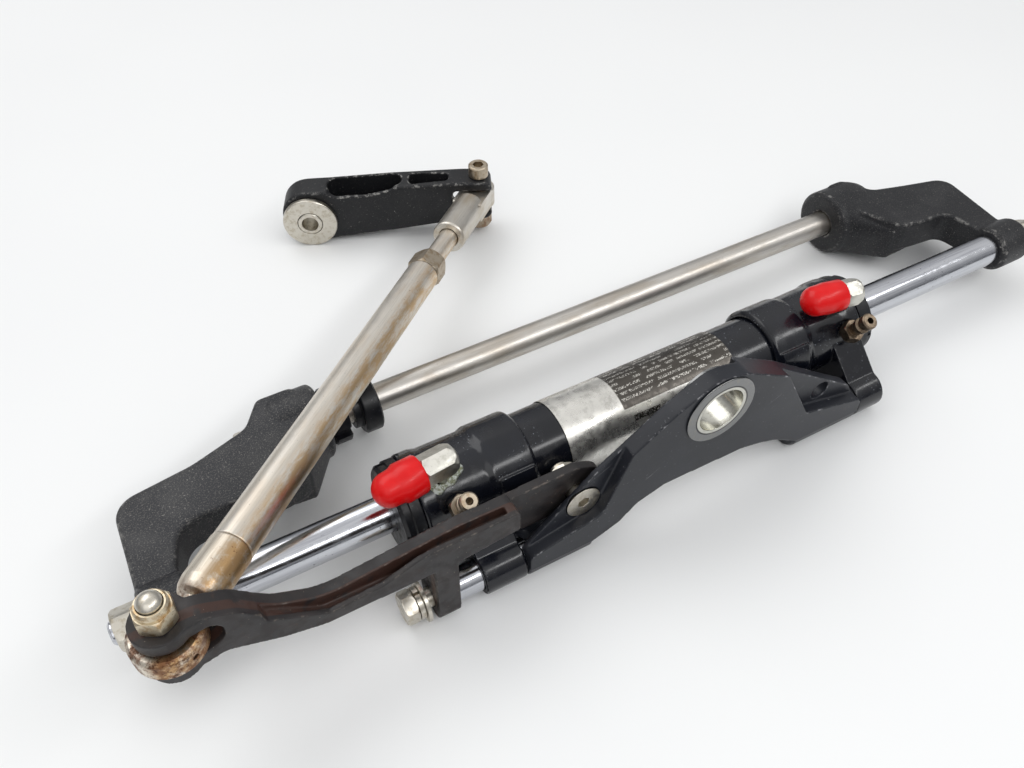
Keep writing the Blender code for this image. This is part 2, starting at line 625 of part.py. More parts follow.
def build_plate(body):
    """Pivot plate: arched slab with two front pockets and a sleeve at each lower corner."""
    outline = rounded([
        (-89.6, -19.2, 0), (-89.6, -9.4, 3), (-84.0, -3.5, 6), (-52.0, 25.0, 40), (-14.0, 51.5, 30),
        (8.0, 62.0, 18), (24.0, 58.0, 16), (52.0, 42.0, 40), (88.0, 16.0, 40), (112.0, -1.0, 8),
        (117.9, -12.0, 3), (117.9, -19.2, 0), (74.4, -19.2, 0), (57.0, -8.2, 6), (46.0, -4.0, 12), (33.5, -1.0, 10),
        (-14.0, 0.5, 12), (-30.0, -4.5, 8), (-40.0, -13.5, 8), (-54.6, -19.2, 4),
    ])
    plate = prism(outline, "XZ", -PLATE_REAR_Y, -PLATE_FRONT_Y)
    pivot = along_x(PIVOT_AXIS)
    join(plate, rod(pivot, AXIS_X, LEFT_SLEEVE[0], LEFT_SLEEVE[1], BOSS_RADIUS, 20, 0.8),
         rod(pivot, AXIS_X, RIGHT_SLEEVE[0], RIGHT_SLEEVE[1], BOSS_RADIUS, 20, 0.8))
    left_pocket = rounded([(-100.0, -10.5, 0), (-51.0, 0.0, 7), (-32.0, 48.0, 0), (-60.0, 70.0, 0), (-110.0, 30.0, 0)])
    right_pocket = rounded([(50.0, 47.0, 0), (75.5, 2.5, 4), (130.0, -12.0, 0), (130.0, 30.0, 0), (90.0, 60.0, 0)])
    rear_step = [(-100.0, -12.0), (-88.0, -12.0), (-49.0, 16.5), (-14.0, 40.5), (8.0, 52.0), (24.0, 53.0), (24.0, 80.0),
                 (-100.0, 80.0)]
    cut(plate, prism(left_pocket, "XZ", -PLATE_FLOOR_Y, 60.0), prism(right_pocket, "XZ", -PLATE_FLOOR_Y, 60.0),
        prism(rear_step, "XZ", 30.0, 42.0))
    cut(plate,
        rod(pivot, AXIS_X, LEFT_SLEEVE[0] - 2.0, -56.5, PIN_RADIUS + GAP, 20),
        rod(pivot, AXIS_X, 77.0, RIGHT_SLEEVE[1] + 2.0, PIN_RADIUS + GAP, 20),
        rod((BUSHING_CENTRE[0], 0.0, BUSHING_CENTRE[1]), AXIS_Y, -60.0, -30.0, 15.8, 32),
        rod((88.5, 0.0, 7.0), AXIS_Y, -60.0, -30.0, 5.5, 20),
        rod((SCREW_CENTRE[0], 0.0, SCREW_CENTRE[1]), AXIS_Y, -60.0, -30.0, 5.1, 20),
        turned([(-40.0, 0.0), (-40.0, 5.0), (-44.4, 9.4), (-46.0, 9.4), (-46.0, 0.0)],
               (SCREW_CENTRE[0], 0.0, SCREW_CENTRE[1]), AXIS_Y, 20))
    finish(plate, "pivot_plate", "plate_black", body)


def build_plate_fittings(body):
    """Pivot pins, tiller bushing and the countersunk screw with its nut."""
    pivot = along_x(PIVOT_AXIS)
    left_pin = rod(pivot, AXIS_X, LUG_X[1] + GAP, -57.0, PIN_RADIUS, 20, 0.6)
    cut(left_pin, rod(pivot, AXIS_X, LUG_X[1] - 2.0, -98.0, 5.1, 20))
    finish(left_pin, "left_pivot_pin", "chrome", body)
    right_pin = rod(pivot, AXIS_X, 77.5, 136.8, PIN_RADIUS, 20, 0.6)
    finish(right_pin, "right_pivot_pin", "chrome", body)
    centre = (BUSHING_CENTRE[0], 0.0, BUSHING_CENTRE[1])
    bushing = turned([(-38.0, 12.4), (-38.0, 15.5), (PLATE_FRONT_Y - GAP, 15.5), (PLATE_FRONT_Y - GAP, 19.3),
                      (-51.8, 19.3), (-52.1, 18.9), (-52.1, 12.4)], centre, AXIS_Y, 32, ring=True)
    finish(bushing, "tiller_bushing", "stainless", body)
    centre = (SCREW_CENTRE[0], 0.0, SCREW_CENTRE[1])
    screw = turned([(-21.5, 0.0), (-21.5, 4.0), (-22.3, 4.76), (-40.6, 4.76), (-44.8, 9.0), (-45.2, 9.0),
                    (-45.2, 0.0)], centre, AXIS_Y, 20)
    cut(screw, hexagon(centre, AXIS_Y, -46.0, -41.5, 5.6))
    finish(screw, "countersunk_screw", "stainless", body)
    nut = hex_nut(centre, AXIS_Y, TONGUE_Y[1] + GAP, TONGUE_Y[1] + 8.0, 14.3, 5.06, 1.0)
    finish(nut, "countersunk_nut", "stainless", body)


def build_arm(body):
    """Forged arm: fork at the far end, channelled bar, lug on the pivot pin and a rear tongue."""
    ear = (BALL.x, BALL.y)
    plan = [Vector((-95.0, ARM_FRONT_Y)), Vector((-95.0, ARM_REAR_Y)), Vector((-222.0, ARM_REAR_Y))]
    plan += arc(ear, EAR_RADIUS, 24.0, 310.0, 16)
    plan += [Vector((-226.0, ARM_FRONT_Y))]
    side = rounded([
        (-94.5, 18.4, 2), (-94.5, 31.5, 4), (-122.0, 32.3, 30), (-150.0, 29.4, 60), (-184.0, 26.0, 30),
        (-204.0, 36.0, 30), (-217.0, 51.0, 14), (-230.0, BALL.z + FORK_HALF, 16), (-262.0, BALL.z + FORK_HALF, 0),
        (-262.0, BALL.z - FORK_HALF, 0), (-225.0, BALL.z - FORK_HALF, 12), (-204.0, 20.5, 30), (-186.0, 15.6, 30),
        (-138.0, 15.4, 0), (-126.0, 14.8, 0),
    ])
    arm = prism(plan, "XY", 0.0, 70.0)
    common(arm, prism(side, "XZ", 20.0, 60.0))
    lug = prism(rounded([(ARM_FRONT_Y, -29.4, 9), (-29.2, -29.4, 9), (-29.2, -12.0, 6), (-38.0, 2.0, 5),
                         (-38.0, 20.0, 0), (ARM_FRONT_Y, 20.0, 0)]), "YZ", LUG_X[0], LUG_X[1])
    tongue = prism(rounded([(-104.0, 5.0, 3), (-88.0, 5.0, 3), (-88.0, -3.0, 2), (-44.0, -3.0, 8), (-44.0, 18.0, 10), (-58.0, 25.0, 10),
                            (-104.0, 24.2, 2)]), "XZ", -TONGUE_Y[1], -TONGUE_Y[0])
    shoulder = box((-103.5, -45.0, 18.8), (-95.5, -34.0, 24.0))
    join(arm, lug, tongue, shoulder)
    channel = prism(rounded([(-100.0, 26.0, 2), (-100.0, 45.0, 0), (-203.0, 45.0, 0), (-207.0, 36.0, 3),
                             (-186.0, 21.0, 10), (-150.0, 20.5, 0), (-136.0, 26.0, 4)]), "XZ", 44.0, 47.4)
    ledge = prism([(-90.0, 31.0), (-90.0, 60.0), (-214.0, 60.0), (-208.0, 36.5), (-184.0, 22.5), (-160.0, 24.0),
                   (-142.0, 30.6)], "XZ", 44.2, 60.0)
    slot = prism(rounded([(-270.0, BALL.z - SLOT_HALF, 0), (-223.5, BALL.z - SLOT_HALF, SLOT_HALF - 0.1),
                          (-223.5, BALL.z + SLOT_HALF, SLOT_HALF - 0.1), (-270.0, BALL.z + SLOT_HALF, 0)]),
                 "XZ", 20.0, 65.0)
    ear_hole = rod((BALL.x, BALL.y, 0.0), AXIS_Z, 20.0, 65.0, 5.06, 20)
    lug_hole = rod(along_x(PIVOT_AXIS), AXIS_X, LUG_X[0] - 2.0, LUG_X[1] + 2.0, 5.1, 20)
    screw_hole = rod((SCREW_CENTRE[0], 0.0, SCREW_CENTRE[1]), AXIS_Y, -39.0, -30.0, 5.1, 20)
    cut(arm, channel, ledge, slot, ear_hole, lug_hole, screw_hole)
    finish(arm, "tie_bar_bracket", "forged_black", body)


def build_arm_fasteners(body):
    """Bolt and washers on the lug, clevis bolt and locking nut on the fork."""
    pivot = along_x(PIVOT_AXIS)
    bolt = rod(pivot, AXIS_X, -145.5, -99.0, 4.76, 20, 0.6)
    join(bolt, common(hexagon(pivot, AXIS_X, -151.5, -145.2, 14.3),
                      rod(pivot, AXIS_X, -151.51, -145.19, 14.3 / math.sqrt(3.0), 18, 0.9)))
    finish(bolt, "bracket_bolt", "stainless", body)
    spring = tube(pivot, AXIS_X, -144.9, -142.5, 8.0, 5.1, 20)
    cut(spring, box((-146.0, PIVOT_AXIS[0] - 0.8, PIVOT_AXIS[1]), (-142.0, PIVOT_AXIS[0] + 0.8, PIVOT_AXIS[1] + 10.0)))
    finish(spring, "spring_washer", "stainless", body)
    flat = tube(pivot, AXIS_X, -142.2, -140.4, 10.4, 5.1, 20)
    finish(flat, "flat_washer", "stainless", body)
    centre = (BALL.x, BALL.y, 0.0)
    low = BALL.z - FORK_HALF - GAP
    high = BALL.z + FORK_HALF + GAP
    clevis = turned([(73.0, 0.0), (72.6, 2.4), (71.4, 4.0), (70.2, 4.76), (low - 0.2, 4.76), (low - 0.2, 0.0)],
                    centre, AXIS_Z, 20)
    join(clevis, common(hexagon(centre, AXIS_Z, low - 5.8, low, 14.3),
                        rod(centre, AXIS_Z, low - 5.81, low + 0.01, 14.3 / math.sqrt(3.0), 18, 0.9)))
    finish(clevis, "clevis_bolt", "stainless", body)
    nut = common(hexagon(centre, AXIS_Z, high, high + 8.0, 14.3),
                 rod(centre, AXIS_Z, high - 0.01, high + 8.01, 14.3 / math.sqrt(3.0), 18, 1.0))
    join(nut, turned([(high + 11.0, 0.0), (high + 11.0, 5.8), (high + 10.0, 6.6), (high + 7.0, 6.7),
                      (high + 7.0, 0.0)], centre, AXIS_Z, 20))
    cut(nut, rod(centre, AXIS_Z, high - 1.0, high + 13.0, 5.06, 20))
    finish(nut, "nylock_nut", "zinc_yellow", body)


# ---------------------------------------------------------------- tie bar

def build_ball(body):
    """Drilled ball clamped in the fork."""
    sphere = ball(BALL, 9.2)
    common(sphere, rod(BALL, AXIS_Z, -6.9, 6.9, 12.0, 20))
    cut(sphere, rod(BALL, AXIS_Z, -10.0, 10.0, 5.06, 20))
    finish(sphere, "spherical_ball", "stainless", body)


def build_tie_bar(body):
    """Rod end, tube, jam nut and swivel stud in one line from the ball to the link pin."""
    eye = turned([(5.7, 0.0), (5.7, 13.2), (4.3, 14.6), (-4.3, 14.6), (-5.7, 13.2), (-5.7, 0.0)], BALL, AXIS_Z, 24)
    socket = turned([(46.0, 0.0), (46.0, SOCKET_RADIUS - 0.6), (45.4, SOCKET_RADIUS), (27.0, SOCKET_RADIUS),
                     (21.0, 8.0), (18.0, 5.2), (10.0, 5.2), (10.0, 0.0)], BALL, BAR_DIRECTION, 20)
    join(eye, socket)
    cut(eye, ball(BALL, 9.5), rod(BALL, AXIS_Z, -8.0, 8.0, 6.6, 20),
        rod(BALL, BAR_DIRECTION, 33.0, 52.0, TUBE_RADIUS + GAP, 20))
    side = BAR_DIRECTION.cross(AXIS_Z).normalized()
    grease = (Vector((0.0, 0.0, 0.0)) + side * 0.75 - BAR_DIRECTION * 0.2).normalized()
    cut(eye, rod(BALL, Vector((grease.x, grease.y, 0.0)), 8.0, 17.0, 1.3, 10))
    finish(eye, "rod_end", "rusty_steel", body)
    bar = tube(BALL, BAR_DIRECTION, 33.3, 265.0, TUBE_RADIUS, 6.5, 20, 0.4)
    finish(bar, "tie_bar_tube", "brushed_steel", body)
    nut = hex_nut(BALL, BAR_DIRECTION, 265.3, 279.0, 18.6, 6.3, 1.4)
    finish(nut, "jam_nut", "rusty_steel", body)
    stud = rod(BALL, BAR_DIRECTION, 240.0, 332.0, 6.0, 20, 0.8)
    finish(stud, "tie_bar_stud", "brushed_steel", body)


def build_clevis(body):
    """Swivel clevis: barrel on the stud and a flat tongue on the link pin."""
    barrel = turned([(354.0, 0.0), (354.0, 8.0), (351.0, 10.4), (311.0, 10.4), (310.0, 9.6), (310.0, 0.0)],
                    BALL, BAR_DIRECTION, 20)
    tongue = rod(LINK_PIN, AXIS_Z, -7.0, 7.0, 10.4, 24, 1.0)
    side = BAR_DIRECTION.cross(AXIS_Z).normalized()
    neck = prism([(-9.8, -6.6), (9.8, -6.6), (9.8, 6.6), (-9.8, 6.6)], "XY", 346.0, BAR_LENGTH - 2.0)
    frame = Matrix((
        (side.x, 0.0, BAR_DIRECTION.x, BALL.x * MM),
        (side.y, 0.0, BAR_DIRECTION.y, BALL.y * MM),
        (side.z, 1.0, BAR_DIRECTION.z, BALL.z * MM),
        (0.0, 0.0, 0.0, 1.0),
    ))
    neck.data.transform(frame)
    neck.data.flip_normals()
    join(barrel, neck, tongue)
    cut(barrel, rod(BALL, BAR_DIRECTION, 300.0, 334.0, 6.0 + GAP, 20),
        rod(LINK_PIN, AXIS_Z, -14.0, 14.0, 5.06, 20))
    finish(barrel, "swivel_clevis", "stainless", body)


def build_link_arm(body):
    """Cast link arm: fork at the pin, two pockets on top and an eye at the far end."""
    outline = rounded([
        (-8.5, -17.0, 6), (-8.5, 11.5, 6), (12.0, 12.0, 20), (60.0, 11.0, 60), (98.0, 9.0, 16),
        (LINK_LENGTH + 18.0, 8.0, 18), (LINK_LENGTH + 18.0, -29.5, 18), (100.0, -28.5, 14),
        (50.0, -22.5, 60), (14.0, -17.5, 20),
    ])
    arm = prism(outline, "LINK", -9.5, 9.5, 1.8)
    slot = prism(rounded([(-20.0, -11.8, 0), (17.5, -11.8, 3), (17.5, 5.8, 3), (-20.0, 5.8, 0)]), "LINK", -15.0, 15.0)
    big = prism(rounded([(52.0, -5.4, 5.2), (94.0, -5.4, 5.2), (94.0, 5.4, 5.2), (52.0, 5.4, 5.2)]),
                "LINK_TOP", -14.0, 20.0)
    small = prism(rounded([(20.0, -4.6, 4.4), (45.0, -4.6, 4.4), (45.0, 4.6, 4.4), (20.0, 4.6, 4.4)]),
                  "LINK_TOP", -10.0, 20.0)
    cut(arm, slot, big, small, rod(LINK_PIN, AXIS_Z, -30.0, 30.0, 5.06, 20),
        rod(LINK_EYE, LINK_NORMAL, -15.0, 15.0, 8.3, 20))
    finish(arm, "link_arm", "cast_black", body)
    front = tube(LINK_EYE, LINK_NORMAL, 9.8, 13.8, DISC_RADIUS, 8.3, 32, 0.6)
    finish(front, "front_washer", "stainless", body)
    rear = tube(LINK_EYE, LINK_NORMAL, -11.8, -9.8, 15.0, 8.3, 20, 0.4)
    finish(rear, "rear_washer", "stainless", body)
    bushing = tube(LINK_EYE, LINK_NORMAL, -13.0, 14.4, 8.0, 5.4, 20, 0.5)
    finish(bushing, "eye_bushing", "stainless", body)
    top = 12.0 + GAP
    bottom = -17.2 - GAP
    base = (LINK_PIN.x, LINK_PIN.y, 0.0)
    pin = turned([(top + 8.0, 0.0), (top + 8.0, 5.6), (top + 7.2, 6.5), (top, 6.5), (top, 4.76),
                  (bottom - 9.2, 4.76), (bottom - 9.9, 4.0), (bottom - 9.9, 0.0)], base, AXIS_Z, 20)
    cut(pin, hexagon(base, AXIS_Z, top + 3.6, top + 10.0, 6.4))
    finish(pin, "link_pin_bolt", "bronze", body)
    nut = hex_nut(base, AXIS_Z, bottom - 8.2, bottom, 14.3, 5.06, 1.0)
    finish(nut, "link_pin_nut", "rusty_steel", body)


# ---------------------------------------------------------------- assembly

def build_kit():
    """All bodies, each on an empty that sits on its joint axis."""
    root = make_frame("support_frame", (0.0, 0.0, 0.0))
    cylinder = make_frame("cylinder", (18.0, 0.0, 0.0), root)
    left_direction = elbow_direction(-1.0, 5.5)
    right_direction = elbow_direction(1.0, 10.0)
    left_x, right_x = -113.6, 130.6
    left_stem, right_stem = elbow_stem(17.0), elbow_stem(21.7)
    left_shank, right_shank = (-7.5, 10.5), (-6.0, 5.2)
    left_plug = make_frame("left_plug", Vector((left_x, 0.0, 0.0)) + left_stem * ELBOW_HEIGHT
                           + left_direction * (left_shank[1] + CAP_LENGTH / 2.0), cylinder)
    right_plug = make_frame("right_plug", Vector((right_x, 0.0, 0.0)) + right_stem * ELBOW_HEIGHT
                            + right_direction * (right_shank[1] + CAP_LENGTH / 2.0), cylinder)
    plate = make_frame("pivot_plate_body", (13.0, *PIVOT_AXIS), cylinder)
    swing = make_frame("ball_body", BALL, plate)
    bar = make_frame("tie_bar_body", BALL, swing)
    clevis = make_frame("clevis_body", LINK_PIN, bar)
    link = make_frame("link_body", LINK_PIN, clevis)

    build_brackets(root)
    build_rods(root)
    build_piston(root)
    build_barrel(cylinder)
    build_cap("left_end_cap", cylinder, LEFT_CAP, LEFT_BOSS, -1.0, -111.0)
    build_cap("right_end_cap", cylinder, RIGHT_CAP, RIGHT_BOSS, 1.0, 128.0)
    build_gland("left_gland_nut", cylinder, LEFT_GLAND, -1.0)
    build_gland("right_gland_nut", cylinder, RIGHT_GLAND, 1.0)
    build_bleeder("left_bleeder", cylinder, -111.0, "stainless")
    build_bleeder("right_bleeder", cylinder, 128.0, "bronze")
    build_elbow("left", cylinder, left_plug, left_x, left_stem, left_direction, left_shank, 11.5)
    build_elbow("right", cylinder, right_plug, right_x, right_stem, right_direction, right_shank, 9.4)
    build_plate(plate)
    build_plate_fittings(plate)
    build_arm(plate)
    build_arm_fasteners(plate)
    build_ball(swing)
    build_tie_bar(bar)
    build_clevis(clevis)
    build_link_arm(link)
    root.location = Vector((-KIT_CENTRE_X, -KIT_CENTRE_Y, -GROUND_Z)) * MM
    bpy.context.view_layer.update()


build_kit()
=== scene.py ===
"""Looks of the outboard steering cylinder kit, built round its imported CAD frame.

Castings and forgings are remeshed so that their edges are rounded; turned and machined pieces
keep crisp chamfers.
"""

import json
import math

import bmesh
import bpy
from mathutils import Matrix, Vector

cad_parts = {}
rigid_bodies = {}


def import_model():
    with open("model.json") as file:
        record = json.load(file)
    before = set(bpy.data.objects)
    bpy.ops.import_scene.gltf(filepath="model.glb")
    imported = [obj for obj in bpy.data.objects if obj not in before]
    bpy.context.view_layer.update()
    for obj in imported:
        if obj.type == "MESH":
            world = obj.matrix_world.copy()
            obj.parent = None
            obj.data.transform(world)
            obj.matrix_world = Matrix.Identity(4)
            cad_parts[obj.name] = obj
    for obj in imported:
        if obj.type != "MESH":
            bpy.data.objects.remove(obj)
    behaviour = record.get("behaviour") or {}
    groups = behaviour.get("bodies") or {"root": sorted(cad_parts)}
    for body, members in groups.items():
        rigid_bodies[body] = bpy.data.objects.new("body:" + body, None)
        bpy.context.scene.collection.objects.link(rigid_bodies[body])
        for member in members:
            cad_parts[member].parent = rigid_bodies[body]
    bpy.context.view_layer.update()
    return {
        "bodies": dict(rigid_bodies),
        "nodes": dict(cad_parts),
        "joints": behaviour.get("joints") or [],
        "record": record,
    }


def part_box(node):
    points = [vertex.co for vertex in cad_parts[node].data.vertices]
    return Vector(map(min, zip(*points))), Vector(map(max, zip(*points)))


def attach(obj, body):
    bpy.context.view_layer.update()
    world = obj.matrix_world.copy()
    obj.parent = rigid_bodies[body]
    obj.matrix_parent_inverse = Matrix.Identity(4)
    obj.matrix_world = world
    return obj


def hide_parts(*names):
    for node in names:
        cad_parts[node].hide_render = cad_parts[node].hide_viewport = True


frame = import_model()

DETAIL = 3                     # segments of a fine piece for each one of the CAD's
MM = 0.001
GAP = 0.3                      # clearance kept between touching pieces

# Piston rod, support rod and pivot axis (Y, Z of each axis parallel to X)
ROD_RADIUS = 9.525             # assumed 3/4 in, sets the scale
SUPPORT_AXIS = (79.6, -9.6)
SUPPORT_RADIUS = 7.94          # assumed 5/8 in
PIVOT_AXIS = (-39.6, -19.2)
PIN_RADIUS = 7.94
STUD_RADIUS = 5.5

# Brackets
LEFT_EYE = (-253.5, -232.0)
RIGHT_EYE = (268.0, 291.0)
LEFT_HUB = (-172.0, -142.0)
RIGHT_HUB = (208.0, 241.0)
EYE_RADIUS = 13.8
HUB_RADIUS = 20.6
ARM_Z = (-12.0, 9.0)
NUT_FLATS = 17.0
NUT_LENGTH = 12.0
SUPPORT_NUT_LENGTH = 15.5

# Cylinder
BARREL_X = (-117.4, 129.1)
BARREL_RADIUS = 20.97
BORE_RADIUS = 17.5
CAP_RADIUS = 24.5
LEFT_CAP = (-127.5, -67.4)
RIGHT_CAP = (79.4, 139.2)
LEFT_GLAND = (-138.0, -127.8)
RIGHT_GLAND = (139.5, 149.7)
LABEL_X = (-48.4, 55.6)
BOSS_RADIUS = 10.9
LEFT_BOSS = (-112.3, -90.2)
RIGHT_BOSS = (118.5, 138.0)

# Pivot plate
PLATE_FRONT_Y = -51.0
PLATE_FLOOR_Y = -44.5
PLATE_REAR_Y = -38.0
LEFT_SLEEVE = (-89.9, -54.0)
RIGHT_SLEEVE = (74.0, 118.2)
BUSHING_CENTRE = (11.2, 40.8)
SCREW_CENTRE = (-58.0, 7.6)

# Forged arm and its fork
LUG_X = (-137.0, -126.0)
ARM_FRONT_Y = -50.0
ARM_REAR_Y = -38.0
TONGUE_Y = (-37.7, -33.0)
BALL = Vector((-243.0, -42.7, 43.5))
EAR_RADIUS = 11.5
SLOT_HALF = 7.2
FORK_HALF = 14.0

# Tie bar and link arm
LINK_PIN = Vector((22.8, 211.7, -3.0))
LINK_EYE = Vector((-78.9, 261.0, -12.3))
TUBE_RADIUS = 9.525
BAR_DIRECTION = (LINK_PIN - BALL).normalized()
BAR_LENGTH = (LINK_PIN - BALL).length
LINK_RUN = Vector((LINK_EYE.x - LINK_PIN.x, LINK_EYE.y - LINK_PIN.y, 0.0))
LINK_LENGTH = LINK_RUN.length
LINK_ALONG = LINK_RUN.normalized()
LINK_NORMAL = LINK_ALONG.cross(Vector((0.0, 0.0, -1.0))).normalized()
DISC_RADIUS = 17.8

AXIS_X = Vector((1.0, 0.0, 0.0))
AXIS_Y = Vector((0.0, 1.0, 0.0))
AXIS_Z = Vector((0.0, 0.0, 1.0))


LEFT_ROD_END = -268.0
rod_low, rod_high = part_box("piston_rod")
KIT_ORIGIN = Vector((rod_low[0] - LEFT_ROD_END * MM, (rod_low[1] + rod_high[1]) / 2.0,
                     (rod_low[2] + rod_high[2]) / 2.0))

kit = bpy.data.collections.new("steering_cylinder_kit")
bpy.context.scene.collection.children.link(kit)
BAR_SIDE = BAR_DIRECTION.cross(AXIS_Z).normalized()


# ---------------------------------------------------------------- materials

def srgb(red, green, blue):
    """Linear colour from 8-bit display values."""
    return tuple(((c / 255.0 + 0.055) / 1.055) ** 2.4 if c > 10 else c / 255.0 / 12.92 for c in (red,
                                                                                                 green,
                                                                                                 blue))


class Surface:
    """Principled material built up from procedural layers."""

    def __init__(self, name, color, roughness, metallic=0.0, coat=0.0, specular=0.5):
        self.material = bpy.data.materials.new(name)
        self.material.use_nodes = True
        self.nodes = self.material.node_tree.nodes
        self.links = self.material.node_tree.links
        self.shader = self.nodes["Principled BSDF"]
        self.shader.inputs["Metallic"].default_value = metallic
        self.shader.inputs["Coat Weight"].default_value = coat
        self.shader.inputs["Coat Roughness"].default_value = 0.12
        self.shader.inputs["Specular IOR Level"].default_value = specular
        self.place = self.nodes.new("ShaderNodeTexCoord").outputs["Object"]
        self.color = color
        self.rough = roughness
        self.heights = []

    def node(self, kind, **values):
        """New node with its named settings."""
        made = self.nodes.new(kind)
        for key, value in values.items():
            setattr(made, key, value)
        return made

    def plug(self, socket, value):
        """Feed a socket from another socket or set it."""
        if isinstance(value, bpy.types.NodeSocket):
            self.links.new(value, socket)
        elif isinstance(value, tuple) and socket.type == "RGBA":
            socket.default_value = (*value, 1.0)
        else:
            socket.default_value = value

    def noise(self, size, detail=3.0, roughness=0.55, along=None, stretch=1.0):
        """Noise with features of a size in millimetres, drawn out along a direction."""
        texture = self.node("ShaderNodeTexNoise")
        texture.inputs["Scale"].default_value = 1.0 / (size * MM)
        texture.inputs["Detail"].default_value = detail
        texture.inputs["Roughness"].default_value = roughness
        place = self.place
        if along is not None:
            mapping = self.node("ShaderNodeMapping", vector_type="POINT")
            turn = Vector(along).to_track_quat("X", "Z").inverted()
            mapping.inputs["Rotation"].default_value = turn.to_euler()
            self.links.new(place, mapping.inputs["Vector"])
            squeeze = self.node("ShaderNodeVectorMath", operation="MULTIPLY")
            squeeze.inputs[1].default_value = (1.0 / stretch, 1.0, 1.0)
            self.links.new(mapping.outputs["Vector"], squeeze.inputs[0])
            place = squeeze.outputs["Vector"]
        self.links.new(place, texture.inputs["Vector"])
        return texture.outputs["Fac"]

    def band(self, value, low, high, top=1.0):
        """0 below low, rising to top at high; falling when low is the larger."""
        ramp = self.node("ShaderNodeMapRange", interpolation_type="SMOOTHSTEP")
        self.plug(ramp.inputs["Value"], value)
        falls = low > high
        ramp.inputs["From Min"].default_value = min(low, high)
        ramp.inputs["From Max"].default_value = max(low, high)
        ramp.inputs["To Min"].default_value = top if falls else 0.0
        ramp.inputs["To Max"].default_value = 0.0 if falls else top
        return ramp.outputs["Result"]

    def math(self, operation, first, second=0.0):
        """Sum, product or other function of two values."""
        made = self.node("ShaderNodeMath", operation=operation)
        self.plug(made.inputs[0], first)
        self.plug(made.inputs[1], second)
        return made.outputs["Value"]

    def both(self, first, second):
        """Where two masks overlap."""
        return self.math("MULTIPLY", first, second)

    def distance(self, direction, origin):
        made = self.node("ShaderNodeVectorMath", operation="DOT_PRODUCT")
        way = Vector(direction).normalized()
        self.links.new(self.place, made.inputs[0])
        made.inputs[1].default_value = way / MM
        offset = -way.dot(Vector(origin) + KIT_ORIGIN / MM)
        return self.math("ADD", made.outputs["Value"], offset)

    def edges(self, low, high, top=1.0):
        """Mask of the outward edges."""
        return self.band(self.node("ShaderNodeNewGeometry").outputs["Pointiness"], low, high, top)

    def paint(self, mask, color):
        """Lay a colour over the others where the mask is on."""
        mix = self.node("ShaderNodeMix", data_type="RGBA")
        self.plug(mix.inputs["Factor"], mask)
        self.plug(mix.inputs[6], self.color)
        self.plug(mix.inputs[7], color)
        self.color = mix.outputs[2]
        return self

    def finish(self, mask, roughness):
        """Give another roughness where the mask is on."""
        mix = self.node("ShaderNodeMix", data_type="FLOAT")
        self.plug(mix.inputs[0], mask)
        self.plug(mix.inputs[2], self.rough)
        self.plug(mix.inputs[3], roughness)
        self.rough = mix.outputs[0]
        return self

    def relief(self, height, depth, strength=1.0):
        """Bump of a depth in millimetres."""
        bump = self.node("ShaderNodeBump")
        bump.inputs["Strength"].default_value = strength
        bump.inputs["Distance"].default_value = depth * MM
        self.plug(bump.inputs["Height"], height)
        if self.heights:
            self.links.new(self.heights[-1], bump.inputs["Normal"])
        self.heights.append(bump.outputs["Normal"])
        return self

    def done(self):
        """Wire the layers to the shader."""
        self.plug(self.shader.inputs["Base Color"], self.color)
        self.plug(self.shader.inputs["Roughness"], self.rough)
        if self.heights:
            self.links.new(self.heights[-1], self.shader.inputs["Normal"])
        return self.material


def cast_black(name, dust):
    """Black painted casting with a fine sandy grain and more or less dust."""
    s = Surface(name, tuple(c * (0.4 + 0.6 * dust) for c in srgb(36, 37, 41)), 0.46, specular=0.32)
    grain = s.noise(0.7, 3.0, 0.6)
    s.paint(s.band(s.noise(22.0, 4.0), 0.42, 0.66, 0.55 * dust + 0.05), srgb(62, 62, 63))
    s.paint(s.band(grain, 0.52, 0.66, 0.75 * dust), srgb(100, 98, 95))
    s.paint(s.band(s.noise(0.9, 2.0), 0.66, 0.72, 0.25 + 0.4 * dust), srgb(150, 146, 140))
    worn = s.both(s.edges(0.508, 0.53), s.band(s.noise(4.0, 5.0, 0.7), 0.5, 0.62, 0.7))
    s.paint(worn, srgb(164, 162, 158))
    scuffs = s.band(s.noise(3.2, 4.0, 0.7, along=(0.5, 1.0, 0.0), stretch=3.0), 0.68, 0.73, 0.85)
    s.paint(s.both(scuffs, s.band(s.noise(30.0, 1.0), 0.52, 0.6)), srgb(205, 202, 196))
    s.finish(s.band(s.noise(9.0), 0.4, 0.7), 0.48)
    return s.relief(grain, 0.1, 0.3 + 0.3 * dust).done()


